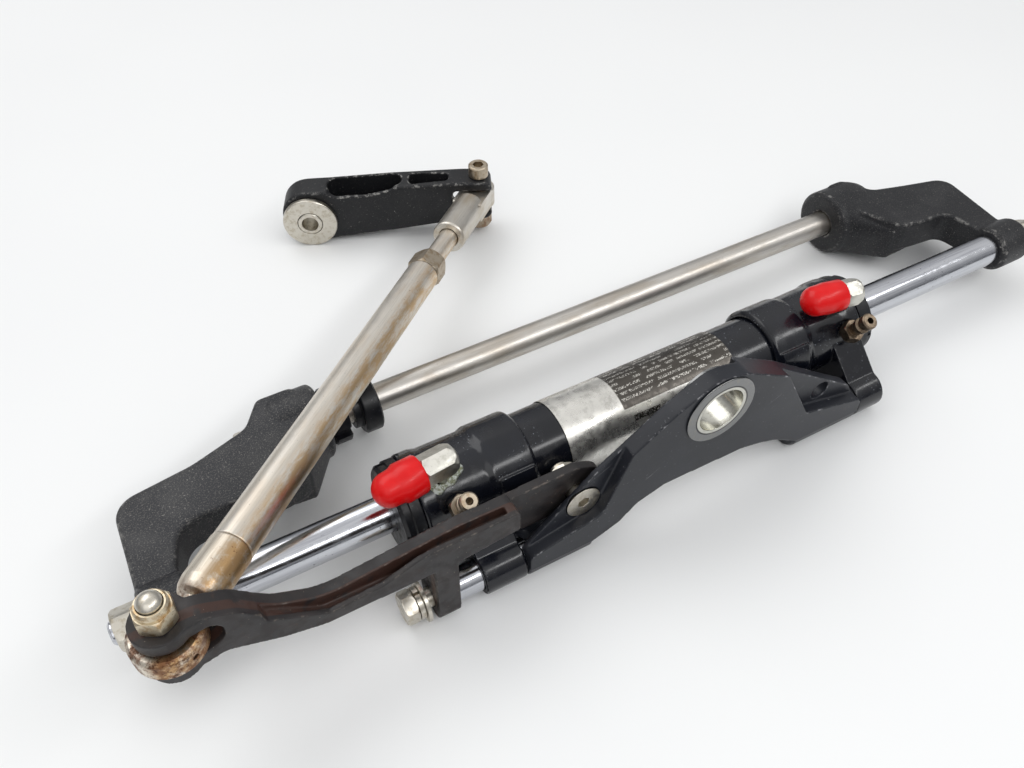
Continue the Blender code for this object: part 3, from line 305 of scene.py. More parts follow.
def forged_black():
    """Black oxide forging gone brown, with rust in the channel."""
    s = Surface("forged_black", srgb(34, 32, 33), 0.4, specular=0.4)
    grain = s.noise(0.9, 4.0, 0.6)
    s.paint(s.band(s.noise(14.0, 4.0), 0.4, 0.65, 0.6), srgb(50, 45, 44))
    s.paint(s.band(s.noise(5.0, 5.0, 0.7), 0.56, 0.72, 0.7), srgb(58, 44, 38))
    inside = s.both(s.band(s.distance(AXIS_Y, (0.0, -47.8, 0.0)), 0.0, 0.6),
                    s.band(s.distance(AXIS_Y, (0.0, -43.4, 0.0)), 0.4, 0.0))
    s.paint(s.both(inside, s.band(s.noise(6.0, 4.0), 0.3, 0.5, 0.8)), srgb(64, 42, 34))
    worn = s.both(s.edges(0.51, 0.54), s.band(s.noise(5.0, 5.0, 0.7), 0.5, 0.66, 0.5))
    s.paint(worn, srgb(120, 112, 104))
    s.paint(s.band(s.noise(1.1, 2.0), 0.72, 0.77, 0.7), srgb(150, 138, 122))
    s.finish(s.band(s.noise(7.0), 0.4, 0.65), 0.6)
    return s.relief(grain, 0.12, 0.5).relief(s.noise(9.0, 2.0), 0.3, 0.3).done()


def plate_black():
    """Satin black anodised plate with bright worn edges and light scuffs."""
    s = Surface("plate_black", srgb(30, 32, 38), 0.36, specular=0.32)
    grain = s.noise(0.5, 3.0, 0.6)
    s.paint(s.band(s.noise(30.0, 4.0), 0.4, 0.66, 0.6), srgb(42, 44, 50))
    s.paint(s.band(s.noise(1.4, 2.0), 0.68, 0.74, 0.5), srgb(110, 112, 116))
    worn = s.both(s.edges(0.51, 0.535), s.band(s.noise(7.0, 6.0, 0.7), 0.52, 0.64, 0.6))
    s.paint(worn, srgb(170, 170, 173))
    lines = s.band(s.noise(1.6, 3.0, 0.6, along=(1.0, 0.0, 0.55), stretch=22.0), 0.7, 0.75, 0.6)
    s.paint(lines, srgb(150, 151, 154))
    s.finish(s.band(s.noise(12.0), 0.4, 0.66), 0.34)
    return s.relief(grain, 0.05, 0.4).done()


def anodised_black():
    """Glossy blue-black anodised cylinder with fine specks."""
    s = Surface("anodised_black", srgb(12, 14, 21), 0.18, coat=0.3, specular=0.35)
    s.paint(s.band(s.noise(26.0, 3.0), 0.42, 0.64, 0.6), srgb(20, 23, 32))
    specks = s.both(s.band(s.noise(0.9, 2.0), 0.68, 0.74, 0.8), s.band(s.noise(16.0, 3.0), 0.48, 0.6))
    s.paint(specks, srgb(170, 176, 186))
    s.finish(s.band(s.noise(8.0, 4.0), 0.45, 0.7), 0.38)
    return s.relief(s.noise(1.2, 3.0), 0.03, 0.3).done()


def black_plastic():
    """Black engineering plastic, lightly scuffed."""
    s = Surface("black_plastic", srgb(17, 18, 22), 0.32, specular=0.35)
    s.paint(s.band(s.noise(5.0, 4.0), 0.5, 0.7, 0.5), srgb(32, 34, 40))
    s.paint(s.band(s.noise(1.0, 2.0), 0.7, 0.76, 0.6), srgb(120, 122, 128))
    s.finish(s.band(s.noise(4.0), 0.4, 0.7), 0.5)
    return s.relief(s.noise(0.6, 2.0), 0.03, 0.3).done()


def chrome():
    """Hard chrome with faint lengthwise streaks and small dark pits."""
    s = Surface("chrome", srgb(200, 202, 207), 0.12, 1.0)
    s.paint(s.band(s.noise(1.4, 4.0, 0.6, along=AXIS_X, stretch=30.0), 0.45, 0.7, 0.5), srgb(160, 162, 172))
    pits = s.both(s.band(s.noise(1.3, 2.0), 0.66, 0.72, 0.8), s.band(s.noise(18.0, 3.0), 0.48, 0.58))
    s.paint(pits, srgb(92, 86, 90))
    s.finish(s.band(s.noise(6.0, 4.0), 0.4, 0.7), 0.24)
    return s.relief(s.noise(1.0, 3.0, 0.5, along=AXIS_X, stretch=14.0), 0.02, 0.25).done()


def brushed(name, along, tint, stain, stained=None):
    """Ground stainless bar: streaks along it and golden tea staining."""
    s = Surface(name, tint, 0.36, 1.0)
    streak = s.noise(0.7, 4.0, 0.6, along=along, stretch=40.0)
    s.paint(s.band(streak, 0.4, 0.7, 0.5), tuple(c * 0.72 for c in tint))
    patches = s.band(s.noise(9.0, 5.0, 0.6, along=along, stretch=4.0), 0.42, 0.68, 0.55)
    if stained is not None:
        side = s.both(s.band(s.distance(*stained), 1.5, 7.5, 0.85),
                      s.band(s.noise(4.0, 6.0, 0.75, along=along,
                                                                                stretch=4.0), 0.36, 0.6))
        patches = s.math("MAXIMUM", s.both(patches, 0.35), side)
    s.paint(patches, stain)
    s.paint(s.band(s.noise(0.9, 2.0), 0.7, 0.76, 0.6), srgb(92, 74, 58))
    s.finish(s.band(s.noise(5.0, 4.0), 0.4, 0.7), 0.42)
    return s.relief(streak, 0.03, 0.35).done()


def rod_end_steel():
    """Ground shank going from golden stains to brown rust at the eye."""
    s = Surface("rod_end_steel", srgb(222, 214, 200), 0.38, 1.0)
    streak = s.noise(0.8, 4.0, 0.6, along=BAR_DIRECTION, stretch=20.0)
    s.paint(s.band(streak, 0.4, 0.7, 0.4), srgb(160, 144, 122))
    gold = s.both(s.band(s.distance(BAR_SIDE, BALL), -1.0, 6.0, 0.9),
                  s.band(s.noise(6.0, 5.0, 0.7), 0.3, 0.56))
    s.paint(gold, srgb(186, 148, 98))
    eye = s.band(s.distance(BAR_DIRECTION, BALL), 24.0, 15.0)
    rust = s.math("MAXIMUM", s.both(eye, s.band(s.noise(5.0, 6.0, 0.7), 0.36, 0.58)),
                  s.band(s.noise(2.2, 5.0, 0.7), 0.6, 0.7))
    s.paint(s.both(rust, 0.85), srgb(120, 80, 56))
    s.paint(s.both(eye, s.band(s.noise(2.6, 5.0, 0.7), 0.52, 0.64, 0.8)), srgb(74, 46, 34))
    s.finish(s.both(rust, 0.9), 0.6)
    return s.relief(s.noise(0.8, 4.0), 0.05, 0.4).done()


def metal(name, tint, roughness, metallic, stain, spots, dull, grain):
    """Stained metal; stain and spots are (noise, band, color), dull and grain likewise."""
    s = Surface(name, tint, roughness, metallic)
    for noise, band, color in (stain, spots):
        s.paint(s.band(s.noise(*noise), *band), color)
    noise, band, dullness = dull
    s.finish(s.band(s.noise(*noise), *band), dullness)
    noise, depth, strength = grain
    return s.relief(s.noise(*noise), depth, strength).done()


def fitting(name, tint, stain):
    """Dull plated fitting with a mottled stain."""
    return metal(name, tint, 0.34, 1.0, ((3.2, 5.0, 0.65), (0.44, 0.66, 0.6), stain),
                 ((0.8, 3.0), (0.66, 0.74, 0.5), tuple(c * 0.5 for c in stain)),
                 ((2.4, 4.0), (0.4, 0.66), 0.46), ((0.5, 3.0), 0.03, 0.3))


def bushing_steel():
    """Bushing with a dulled dark flange round a bright bore."""
    s = Surface("bushing_steel", srgb(206, 205, 196), 0.22, 1.0)
    across = s.distance(AXIS_X, (BUSHING_CENTRE[0], 0.0, 0.0))
    rise = s.distance(AXIS_Z, (0.0, 0.0, BUSHING_CENTRE[1]))
    radius = s.math("SQRT", s.math("ADD", s.both(across, across), s.both(rise, rise)))
    s.paint(s.band(radius, 14.4, 14.9, 0.9), srgb(118, 119, 121))
    s.paint(s.both(s.band(radius, 13.9, 14.2), s.band(radius, 15.0, 14.7)), srgb(60, 60, 62))
    s.paint(s.band(s.noise(3.0, 5.0, 0.65), 0.5, 0.7, 0.4), srgb(150, 146, 132))
    return s.relief(s.noise(0.5, 3.0), 0.02, 0.3).done()


def foil():
    """Silver foil label: a dark printed panel, rules and rows of unreadable marks."""
    s = Surface("foil", srgb(222, 220, 214), 0.26, 0.9)
    s.paint(s.band(s.noise(6.0, 5.0, 0.65), 0.44, 0.68, 0.6), srgb(176, 174, 168))
    along = s.distance(AXIS_X, (LABEL_X[0], 0.0, 0.0))
    rise = s.distance(AXIS_Z, (0.0, 0.0, 0.0))
    depth = s.distance(AXIS_Y, (0.0, 0.0, 0.0))
    turn = s.math("MULTIPLY", s.math("ARCTAN2", rise, s.math("MULTIPLY", depth, -1.0)), BARREL_RADIUS)
    panel = s.both(s.band(along, 34.0, 34.6), s.band(turn, 19.2, 19.6))
    s.paint(s.both(panel, 0.94), srgb(66, 61, 56))
    for start, stop, low, high in ((34.0, 103.0, 17.0, 18.0), (12.0, 103.0, 9.6, 10.3),
                                   (58.0, 58.8, 0.0, 17.0)):
        rule = s.both(s.both(s.band(along, start, start + 0.2), s.band(along, stop + 0.2, stop)),
                      s.both(s.band(turn, low, low + 0.2), s.band(turn, high + 0.2, high)))
        s.paint(rule, srgb(222, 220, 214))
    row = s.math("PINGPONG", turn, 1.6)
    marks = s.noise(0.75, 1.0, along=AXIS_X, stretch=0.8)
    lines = s.both(s.band(row, 0.75, 0.95), s.band(marks, 0.5, 0.54))
    words = s.both(lines, s.band(s.noise(5.0, 0.0), 0.4, 0.44))
    s.paint(s.both(s.both(words, panel), s.band(turn, 22.5, 23.0)), srgb(206, 203, 196))
    small = s.both(words, s.both(s.band(turn, 1.0, 1.4), s.band(turn, 15.6, 15.2)))
    s.paint(s.both(small, s.band(along, 60.0, 61.0)), srgb(92, 88, 82))
    bold = s.both(s.both(s.band(along, 38.0, 38.4), s.band(along, 54.4, 54.0)),
                  s.both(s.band(turn, 12.0, 12.3), s.band(turn, 15.3, 15.0)))
    s.paint(s.both(bold, s.band(marks, 0.42, 0.46)), srgb(70, 66, 60))
    s.finish(s.band(s.noise(4.0, 4.0), 0.4, 0.7), 0.42)
    return s.relief(s.noise(2.0, 3.0), 0.04, 0.3).done()


def red_plastic():
    """Soft glossy red vinyl."""
    s = Surface("red_plastic", srgb(214, 6, 10), 0.3, coat=0.1, specular=0.3)
    s.paint(s.band(s.noise(7.0, 3.0), 0.4, 0.66, 0.6), srgb(222, 20, 22))
    s.finish(s.band(s.noise(3.0, 4.0), 0.45, 0.7), 0.42)
    return s.relief(s.noise(1.6, 3.0), 0.06, 0.4).done()


def deposit():
    """Chalky green-white corrosion."""
    s = Surface("deposit", srgb(206, 212, 206), 0.85)
    s.paint(s.band(s.noise(1.8, 5.0, 0.7), 0.42, 0.56), srgb(120, 124, 96))
    s.paint(s.band(s.noise(0.9, 4.0, 0.7), 0.58, 0.68), srgb(236, 240, 238))
    return s.relief(s.noise(0.9, 5.0, 0.7), 0.5, 1.0).done()


MATERIALS = {
    "cast_black": cast_black("cast_black", 1.0),
    "satin_black": cast_black("satin_black", 0.1),
    "worn_black": cast_black("worn_black", 0.35),
    "forged_black": forged_black(),
    "plate_black": plate_black(),
    "anodised_black": anodised_black(),
    "black_plastic": black_plastic(),
    "chrome": chrome(),
    "brushed_steel": brushed("brushed_steel", AXIS_X, srgb(204, 200, 194), srgb(170, 158, 142)),
    "tie_bar_steel": brushed("tie_bar_steel", BAR_DIRECTION, srgb(228, 222, 212), srgb(204, 170, 122),
                             (BAR_SIDE, BALL)),
    "bushing_steel": bushing_steel(),
    "rod_end_steel": rod_end_steel(),
    "clevis_steel": brushed("clevis_steel", BAR_DIRECTION, srgb(212, 207, 198), srgb(178, 162, 136)),
    "stained_steel": fitting("stained_steel", srgb(182, 170, 152), srgb(140, 114, 82)),
    "elbow_metal": fitting("elbow_metal", srgb(206, 204, 196), srgb(172, 170, 158)),
    "stainless": metal("stainless", srgb(204, 199, 188), 0.28, 1.0,
                       ((3.0, 5.0, 0.65), (0.46, 0.68, 0.6), srgb(166, 154, 130)),
                       ((0.8, 3.0), (0.66, 0.74, 0.7), srgb(110, 94, 74)),
                       ((3.0, 4.0), (0.4, 0.66), 0.44), ((0.5, 3.0), 0.03, 0.3)),
    "bronze": metal("bronze", srgb(128, 114, 98), 0.36, 1.0,
                    ((2.4, 5.0, 0.65), (0.44, 0.66, 0.8), srgb(92, 78, 64)),
                    ((0.7, 3.0), (0.64, 0.72, 0.7), srgb(168, 156, 138)),
                    ((2.0, 4.0), (0.4, 0.66), 0.5), ((0.5, 3.0), 0.04, 0.4)),
    "zinc_yellow": metal("zinc_yellow", srgb(208, 196, 172), 0.34, 1.0,
                         ((3.4, 5.0, 0.65), (0.46, 0.64, 0.8), srgb(176, 146, 104)),
                         ((1.2, 4.0), (0.6, 0.72, 0.7), srgb(126, 94, 60)),
                         ((2.4, 4.0), (0.4, 0.66), 0.46), ((0.6, 3.0), 0.04, 0.4)),
    "rusty_steel": metal("rusty_steel", srgb(168, 154, 136), 0.36, 0.9,
                         ((5.5, 6.0, 0.7), (0.44, 0.62, 0.85), srgb(134, 96, 64)),
                         ((1.6, 5.0, 0.7), (0.56, 0.68, 0.8), srgb(84, 54, 36)),
                         ((4.0, 5.0), (0.44, 0.62), 0.66), ((0.8, 4.0), 0.08, 0.6)),
    "foil": foil(),
    "red_plastic": red_plastic(),
    "deposit": deposit(),
}


# ---------------------------------------------------------------- shape helpers

def new_object(mesh):
    """Link a mesh as a working object."""
    obj = bpy.data.objects.new("work", mesh)
    kit.objects.link(obj)
    return obj


def from_bmesh(work, name):
    """Working object from a bmesh, which is used up."""
    mesh = bpy.data.meshes.new(name)
    work.to_mesh(mesh)
    work.free()
    return new_object(mesh)


def read_mesh(obj):
    """Mesh of an object with its modifiers and its placement applied."""
    bpy.context.view_layer.update()
    depsgraph = bpy.context.evaluated_depsgraph_get()
    mesh = bpy.data.meshes.new_from_object(obj.evaluated_get(depsgraph))
    mesh.transform(obj.matrix_world)
    return mesh


def soften(obj, voxel, rounds):
    """Remesh a solid and relax it, so that every edge is rounded."""
    remesh = obj.modifiers.new("Remesh", "REMESH")
    remesh.mode = "VOXEL"
    remesh.voxel_size = voxel * MM
    smooth = obj.modifiers.new("Smooth", "SMOOTH")
    smooth.factor = 0.5
    smooth.iterations = rounds
    mesh = read_mesh(obj)
    obj.modifiers.clear()
    obj.data = mesh
    return obj


def chamfer_edges(obj, width):
    """Small rounded bevel on every sharp edge."""
    bevel = obj.modifiers.new("Bevel", "BEVEL")
    bevel.width = width * MM
    bevel.segments = 2
    bevel.limit_method = "ANGLE"
    bevel.angle_limit = math.radians(34.0)
    bevel.harden_normals = True
    return obj


CAST = {
    "left_bracket": (0.7, 9), "right_bracket": (0.7, 9), "link_arm": (0.6, 6), "tie_bar_bracket": (0.5, 5),
    "pivot_plate": (0.5, 4), "left_end_cap": (0.45, 14), "right_end_cap": (0.45, 14), "rod_end": (0.3, 2),
    "swivel_clevis": (0.3, 2),
}


def finish(obj, node, material, body, sharp=32.0):
    """Dress a fine piece and let it stand for its CAD node on its body."""
    obj.name = node + "_fine"
    obj.data.name = obj.name
    if node in CAST:
        soften(obj, *CAST[node])
        obj.data.shade_smooth()
    else:
        obj.data.shade_smooth()
        obj.data.set_sharp_from_angle(angle=math.radians(sharp))
        chamfer_edges(obj, 0.22)
    obj.data.transform(Matrix.Translation(KIT_ORIGIN))
    obj.data.materials.clear()
    obj.data.materials.append(MATERIALS[material])
    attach(obj, body)
    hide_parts(node)
    return obj


def weld(mesh):
    """Merge the loose seams and caps of a mesh into one closed skin."""
    work = bmesh.new()
    work.from_mesh(mesh)
    bmesh.ops.remove_doubles(work, verts=work.verts, dist=0.000002)
    bmesh.ops.dissolve_degenerate(work, edges=work.edges, dist=0.000002)
    work.to_mesh(mesh)
    work.free()
    return mesh


def frame_along(start, direction):
    """Placement whose Z axis follows a direction from a point in millimetres."""
    turn = Vector(direction).to_track_quat("Z", "Y").to_matrix().to_4x4()
    return Matrix.Translation(Vector(start) * MM) @ turn


def turned(profile, start=(0.0, 0.0, 0.0), direction=AXIS_X, segments=20, ring=False):
    """Turned solid from (distance, radius) pairs, far end first; a ring closes its profile."""
    points = [(radius * MM, 0.0, distance * MM) for distance, radius in profile]
    edges = [(i, i + 1) for i in range(len(points) - 1)]
    if ring:
        edges.append((len(points) - 1, 0))
    mesh = bpy.data.meshes.new("profile")
    mesh.from_pydata(points, edges, [])
    obj = new_object(mesh)
    screw = obj.modifiers.new("Screw", "SCREW")
    screw.steps = segments * DETAIL
    screw.render_steps = segments * DETAIL
    screw.use_merge_vertices = True
    screw.merge_threshold = 0.00001
    obj.matrix_world = frame_along(start, direction)
    solid = new_object(weld(read_mesh(obj)))
    bpy.data.objects.remove(obj)
    return solid


def tube(start, direction, near, far, radius, bore, segments=20, chamfer=0.0):
    """Round tube with chamfered outer edges; a bore of zero gives a solid bar."""
    profile = [(far, bore), (far, radius - chamfer)]
    if chamfer:
        profile += [(far - chamfer, radius), (near + chamfer, radius)]
    profile += [(near, radius - chamfer), (near, bore)]
    return turned(profile, start, direction, segments, ring=bore > 0.0)


def rod(start, direction, near, far, radius, segments=20, chamfer=0.0):
    """Plain round bar between two distances along a direction."""
    return tube(start, direction, near, far, radius, 0.0, segments, chamfer)


def along_x(axis):
    """Point at X = 0 on an axis parallel to X, given its Y and Z."""
    return (0.0, axis[0], axis[1])


def rounded(corners, steps=10):
    """Outline with each (a, b, radius) corner turned into an arc."""
    outline = []
    count = len(corners)
    for i, (a, b, radius) in enumerate(corners):
        corner = Vector((a, b))
        to_last = (Vector(corners[i - 1][:2]) - corner).normalized()
        to_next = (Vector(corners[(i + 1) % count][:2]) - corner).normalized()
        if radius == 0:
            outline.append(corner)
            continue
        half = to_last.angle(to_next) / 2.0
        reach = radius / math.tan(half)
        middle = corner + (to_last + to_next).normalized() * radius / math.sin(half)
        first = corner + to_last * reach - middle
        last = corner + to_next * reach - middle
        sweep = first.angle_signed(last)
        for step in range(steps + 1):
            turn = Matrix.Rotation(-sweep * step / steps, 2)
            outline.append(middle + turn @ first)
    return outline


def arc(centre, radius, start, stop, steps):
    """Points of a circular arc, angles in degrees."""
    points = []
    for step in range(steps + 1):
        angle = math.radians(start + (stop - start) * step / steps)
        points.append(Vector((centre[0] + radius * math.cos(angle), centre[1] + radius * math.sin(angle))))
    return points


PLANES = {
    "XY": Matrix(((1, 0, 0, 0), (0, 1, 0, 0), (0, 0, 1, 0), (0, 0, 0, 1))),
    "XZ": Matrix(((1, 0, 0, 0), (0, 0, -1, 0), (0, 1, 0, 0), (0, 0, 0, 1))),
    "YZ": Matrix(((0, 0, 1, 0), (1, 0, 0, 0), (0, 1, 0, 0), (0, 0, 0, 1))),
}
PLANES["LINK"] = Matrix((
    (LINK_ALONG.x, 0, -LINK_NORMAL.x, LINK_PIN.x * MM),
    (LINK_ALONG.y, 0, -LINK_NORMAL.y, LINK_PIN.y * MM),
    (0, 1, 0, 0),
    (0, 0, 0, 1),
))
PLANES["LINK_TOP"] = Matrix((
    (LINK_ALONG.x, LINK_NORMAL.x, 0, LINK_PIN.x * MM),
    (LINK_ALONG.y, LINK_NORMAL.y, 0, LINK_PIN.y * MM),
    (0, 0, 1, 0),
    (0, 0, 0, 1),
))


def prism(outline, plane, near, far, bevel=0.0, bevel_steps=4):
    """Outline extruded between two heights of a plane's normal, with rounded edges."""
    curve = bpy.data.curves.new("outline", "CURVE")
    curve.dimensions = "2D"
    curve.fill_mode = "BOTH"
    curve.extrude = ((far - near) / 2.0 - bevel) * MM
    curve.bevel_depth = bevel * MM
    curve.bevel_resolution = bevel_steps
    curve.offset = -bevel * MM
    spline = curve.splines.new("POLY")
    spline.points.add(len(outline) - 1)
    for point, corner in zip(spline.points, outline):
        point.co = (corner[0] * MM, corner[1] * MM, 0.0, 1.0)
    spline.use_cyclic_u = True
    obj = bpy.data.objects.new("outline", curve)
    kit.objects.link(obj)
    obj.matrix_world = PLANES[plane] @ Matrix.Translation((0.0, 0.0, (near + far) / 2.0 * MM))
    solid = new_object(weld(read_mesh(obj)))
    bpy.data.objects.remove(obj)
    return solid


def box(low, high):
    """Block between two corners."""
    size = Vector(high) - Vector(low)
    middle = (Vector(high) + Vector(low)) / 2.0
    work = bmesh.new()
    placement = Matrix.Translation(middle * MM) @ Matrix.Diagonal((*(size * MM), 1.0))
    bmesh.ops.create_cube(work, size=1.0, matrix=placement)
    return from_bmesh(work, "box")


def ball(centre, radius, segments=64, rings=40):
    """Full sphere."""
    work = bmesh.new()
    bmesh.ops.create_uvsphere(work, u_segments=segments, v_segments=rings, radius=radius * MM,
                              matrix=Matrix.Translation(Vector(centre) * MM))
    return from_bmesh(work, "ball")


def ring_points(x, axis, radius, count=20):
    """Points round an axis parallel to X."""
    return [(x, axis[0] + radius * math.cos(2.0 * math.pi * i / count),
             axis[1] + radius * math.sin(2.0 * math.pi * i / count)) for i in range(count)]


def hull(points):
    """Smallest convex solid round a set of points."""
    work = bmesh.new()
    for point in points:
        work.verts.new(Vector(point) * MM)
    made = bmesh.ops.convex_hull(work, input=work.verts)
    spare = [item for item in made["geom_interior"] if isinstance(item, bmesh.types.BMVert)]
    bmesh.ops.delete(work, geom=spare, context="VERTS")
    bmesh.ops.recalc_face_normals(work, faces=work.faces)
    return from_bmesh(work, "hull")


def hexagon(start, direction, near, far, flats, turn=0.0):
    """Hexagonal bar between two distances along a direction."""
    work = bmesh.new()
    placement = frame_along(Vector(start) + Vector(direction).normalized() * (near + far) / 2.0, direction)
    radius = flats / math.sqrt(3.0) * MM
    bmesh.ops.create_cone(work, cap_ends=True, segments=6, radius1=radius, radius2=radius,
                          depth=(far - near) * MM,
                          matrix=placement @ Matrix.Rotation(math.radians(turn), 4, "Z"))
    return from_bmesh(work, "hexagon")


def combine(target, tool, operation):
    """Boolean of two solids; the tool is used up."""
    modifier = target.modifiers.new("Boolean", "BOOLEAN")
    modifier.operation = operation
    modifier.object = tool
    mesh = weld(read_mesh(target))
    target.modifiers.clear()
    target.data = mesh
    bpy.data.objects.remove(tool)
    return target


def join(target, *tools):
    """Union of a solid with others."""
    for tool in tools:
        combine(target, tool, "UNION")
    return target


def cut(target, *tools):
    """Solid with others taken away."""
    for tool in tools:
        combine(target, tool, "DIFFERENCE")
    return target


def common(target, tool):
    """What two solids share."""
    return combine(target, tool, "INTERSECT")


def hex_nut(start, direction, near, far, flats, bore, chamfer=1.2, turn=0.0):
    """Hexagonal nut with rounded-off corners and a clear hole."""
    nut = hexagon(start, direction, near, far, flats, turn)
    corner = flats / math.sqrt(3.0)
    envelope = rod(start, direction, near - 0.01, far + 0.01, corner, 18, chamfer)
    common(nut, envelope)
    return cut(nut, rod(start, direction, near - 1.0, far + 1.0, bore, 16))


def build_bracket(name, body, outline, eye, hub, inner_side):
    """Cast arm from the piston rod's eye to the support rod's hub."""
    bracket = prism(rounded(outline), "XY", ARM_Z[0], ARM_Z[1], 2.4)
    length = hub[1] - hub[0]
    outer_end = hub[0] if inner_side > 0 else hub[1]
    inner_end = hub[1] if inner_side > 0 else hub[0]
    hub_solid = turned(
        [(length, 0.0), (length, 18.4), (length - 2.0, HUB_RADIUS), (7.0, HUB_RADIUS), (2.0, 18.6),
         (0.0, 15.6),
         (0.0, 0.0)],
        (outer_end, *SUPPORT_AXIS), AXIS_X * inner_side, 20)
    eye_solid = rod(along_x((0.0, 0.0)), AXIS_X, eye[0], eye[1], EYE_RADIUS, 24, 1.6)
    near_hub = inner_end - inner_side * 3.0
    behind = inner_end - inner_side * 32.0
    belly = hull(ring_points(near_hub, SUPPORT_AXIS, 19.2) + [
        (behind, 35.5, -13.0), (behind, 35.5, 6.0), (behind, 60.0, -20.0), (behind, 60.0, 7.0),
        (inner_end - inner_side * 20.0, 38.5, -18.0), (inner_end - inner_side * 20.0, 38.5, 3.0)])
    join(bracket, belly, hub_solid, eye_solid)
    stud_hole = rod(along_x((0.0, 0.0)), AXIS_X, eye[0] - 2.0, eye[1] + 2.0, STUD_RADIUS + GAP, 20)
    hub_hole = rod(along_x(SUPPORT_AXIS), AXIS_X, hub[0] - 2.0, hub[1] + 2.0, STUD_RADIUS + GAP, 20)
    socket = rod((inner_end, *SUPPORT_AXIS), AXIS_X * inner_side, -12.0, 2.0, SUPPORT_RADIUS + GAP, 20)
    nut_recess = rod((outer_end, *SUPPORT_AXIS), AXIS_X * -inner_side, 0.0, 22.0, 11.0, 20)
    cut(bracket, stud_hole, hub_hole, socket, nut_recess)
    return finish(bracket, name, "cast_black" if name == "left_bracket" else "worn_black", body)


def build_brackets(body):
    """The two brackets, a longer one on the left and a shorter one on the right."""
    left_outline = [
        (-253.2, -3.0, 0), (-253.2, 10.0, 6), (-251.5, 61.5, 13), (-212.0, 67.2, 40), (-182.0, 77.0, 12),
        (-171.2, 93.0, 5), (-150.0, 93.0, 5), (-150.0, 59.0, 6), (-164.0, 36.0, 12), (-178.0, 33.6, 12),
        (-227.0, 34.6, 13), (-233.2, 14.0, 8), (-233.2, -3.0, 0),
    ]
    right_outline = [
        (290.6, -3.0, 0), (288.4, 12.0, 6), (294.4, 61.0, 11), (264.0, 68.7, 25), (242.0, 75.0, 10),
        (232.5, 93.0, 6), (218.0, 93.0, 5), (218.0, 59.0, 6), (230.0, 36.0, 12), (243.0, 33.6, 10),
        (264.0, 31.6, 7), (267.7, 12.0, 5), (268.4, -3.0, 0),
    ]
    build_bracket("left_bracket", body, left_outline, LEFT_EYE, LEFT_HUB, 1.0)
    build_bracket("right_bracket", body, right_outline, RIGHT_EYE, RIGHT_HUB, -1.0)


def stepped_rod(axis, left_shoulder, right_shoulder, left_end, right_end, radius):
    """Round bar with a thinner stud at each end."""
    profile = [
        (right_end, 0.0), (right_end, STUD_RADIUS - 1.0), (right_end - 1.0, STUD_RADIUS),
        (right_shoulder, STUD_RADIUS), (right_shoulder, radius - 0.6), (right_shoulder - 0.6, radius),
        (left_shoulder + 0.6, radius), (left_shoulder, radius - 0.6), (left_shoulder, STUD_RADIUS),
        (left_end + 1.0, STUD_RADIUS), (left_end, STUD_RADIUS - 1.0), (left_end, 0.0),
    ]
    return turned(profile, along_x(axis), AXIS_X, 20)


def build_rods(body):
    """Piston rod, support rod, their end nuts and the two loose collars."""
    centre = (0.0, 0.0)
    piston_rod = stepped_rod(centre, LEFT_EYE[1] + GAP, RIGHT_EYE[0] - GAP, -268.0, 305.0, ROD_RADIUS)
    finish(piston_rod, "piston_rod", "chrome", body)
    support = stepped_rod(SUPPORT_AXIS, LEFT_HUB[1] - 12.0 + GAP, RIGHT_HUB[0] + 12.0 - GAP,
                          -189.5, 258.5, SUPPORT_RADIUS)
    finish(support, "support_rod", "brushed_steel", body)
    nuts = (
        ("piston_rod_nut_left", centre, LEFT_EYE[0] - GAP - NUT_LENGTH, NUT_LENGTH),
        ("piston_rod_nut_right", centre, RIGHT_EYE[1] + GAP, NUT_LENGTH),
        ("support_rod_nut_left", SUPPORT_AXIS, LEFT_HUB[0] - GAP - SUPPORT_NUT_LENGTH, SUPPORT_NUT_LENGTH),
        ("support_rod_nut_right", SUPPORT_AXIS, RIGHT_HUB[1] + GAP, SUPPORT_NUT_LENGTH),
    )
    for name, axis, near, length in nuts:
        nut = hex_nut(along_x(axis), AXIS_X, near, near + length, NUT_FLATS, STUD_RADIUS + GAP)
        finish(nut, name, "stainless", body)
    collar_bore = SUPPORT_RADIUS + GAP
    flanged = turned(
        [(-112.8, collar_bore), (-112.8, 14.8), (-113.8, 16.1), (-122.0, 16.1), (-123.0, 14.8),
         (-123.0, 11.5), (-127.0, 11.5), (-127.0, collar_bore)],
        along_x(SUPPORT_AXIS), AXIS_X, 20, ring=True)
    finish(flanged, "flanged_collar", "black_plastic", body)
    notched = tube(along_x(SUPPORT_AXIS), AXIS_X, -140.2, -130.9, 16.0, collar_bore, 20, 0.8)
    notch_y = SUPPORT_AXIS[0] - 16.0
    cut(notched, box((-142.0, notch_y - 2.0, SUPPORT_AXIS[1] - 3.0),
                     (-129.0, notch_y + 4.5, SUPPORT_AXIS[1] + 3.0)))
    finish(notched, "notched_collar", "black_plastic", body)


def build_barrel(body):
    """Barrel and the foil label wrapped round its front and top."""
    barrel = tube((0.0, 0.0, 0.0), AXIS_X, BARREL_X[0], BARREL_X[1], BARREL_RADIUS, BORE_RADIUS, 32)
    finish(barrel, "barrel", "anodised_black", body)
    inside = BARREL_RADIUS + GAP
    label = tube((0.0, 0.0, 0.0), AXIS_X, LABEL_X[0], LABEL_X[1], inside + 0.25, inside, 32)
    cut(label, box((LABEL_X[0] - 1.0, -5.0, -25.0), (LABEL_X[1] + 1.0, 25.0, -8.0)))
    finish(label, "barrel_label", "foil", body)


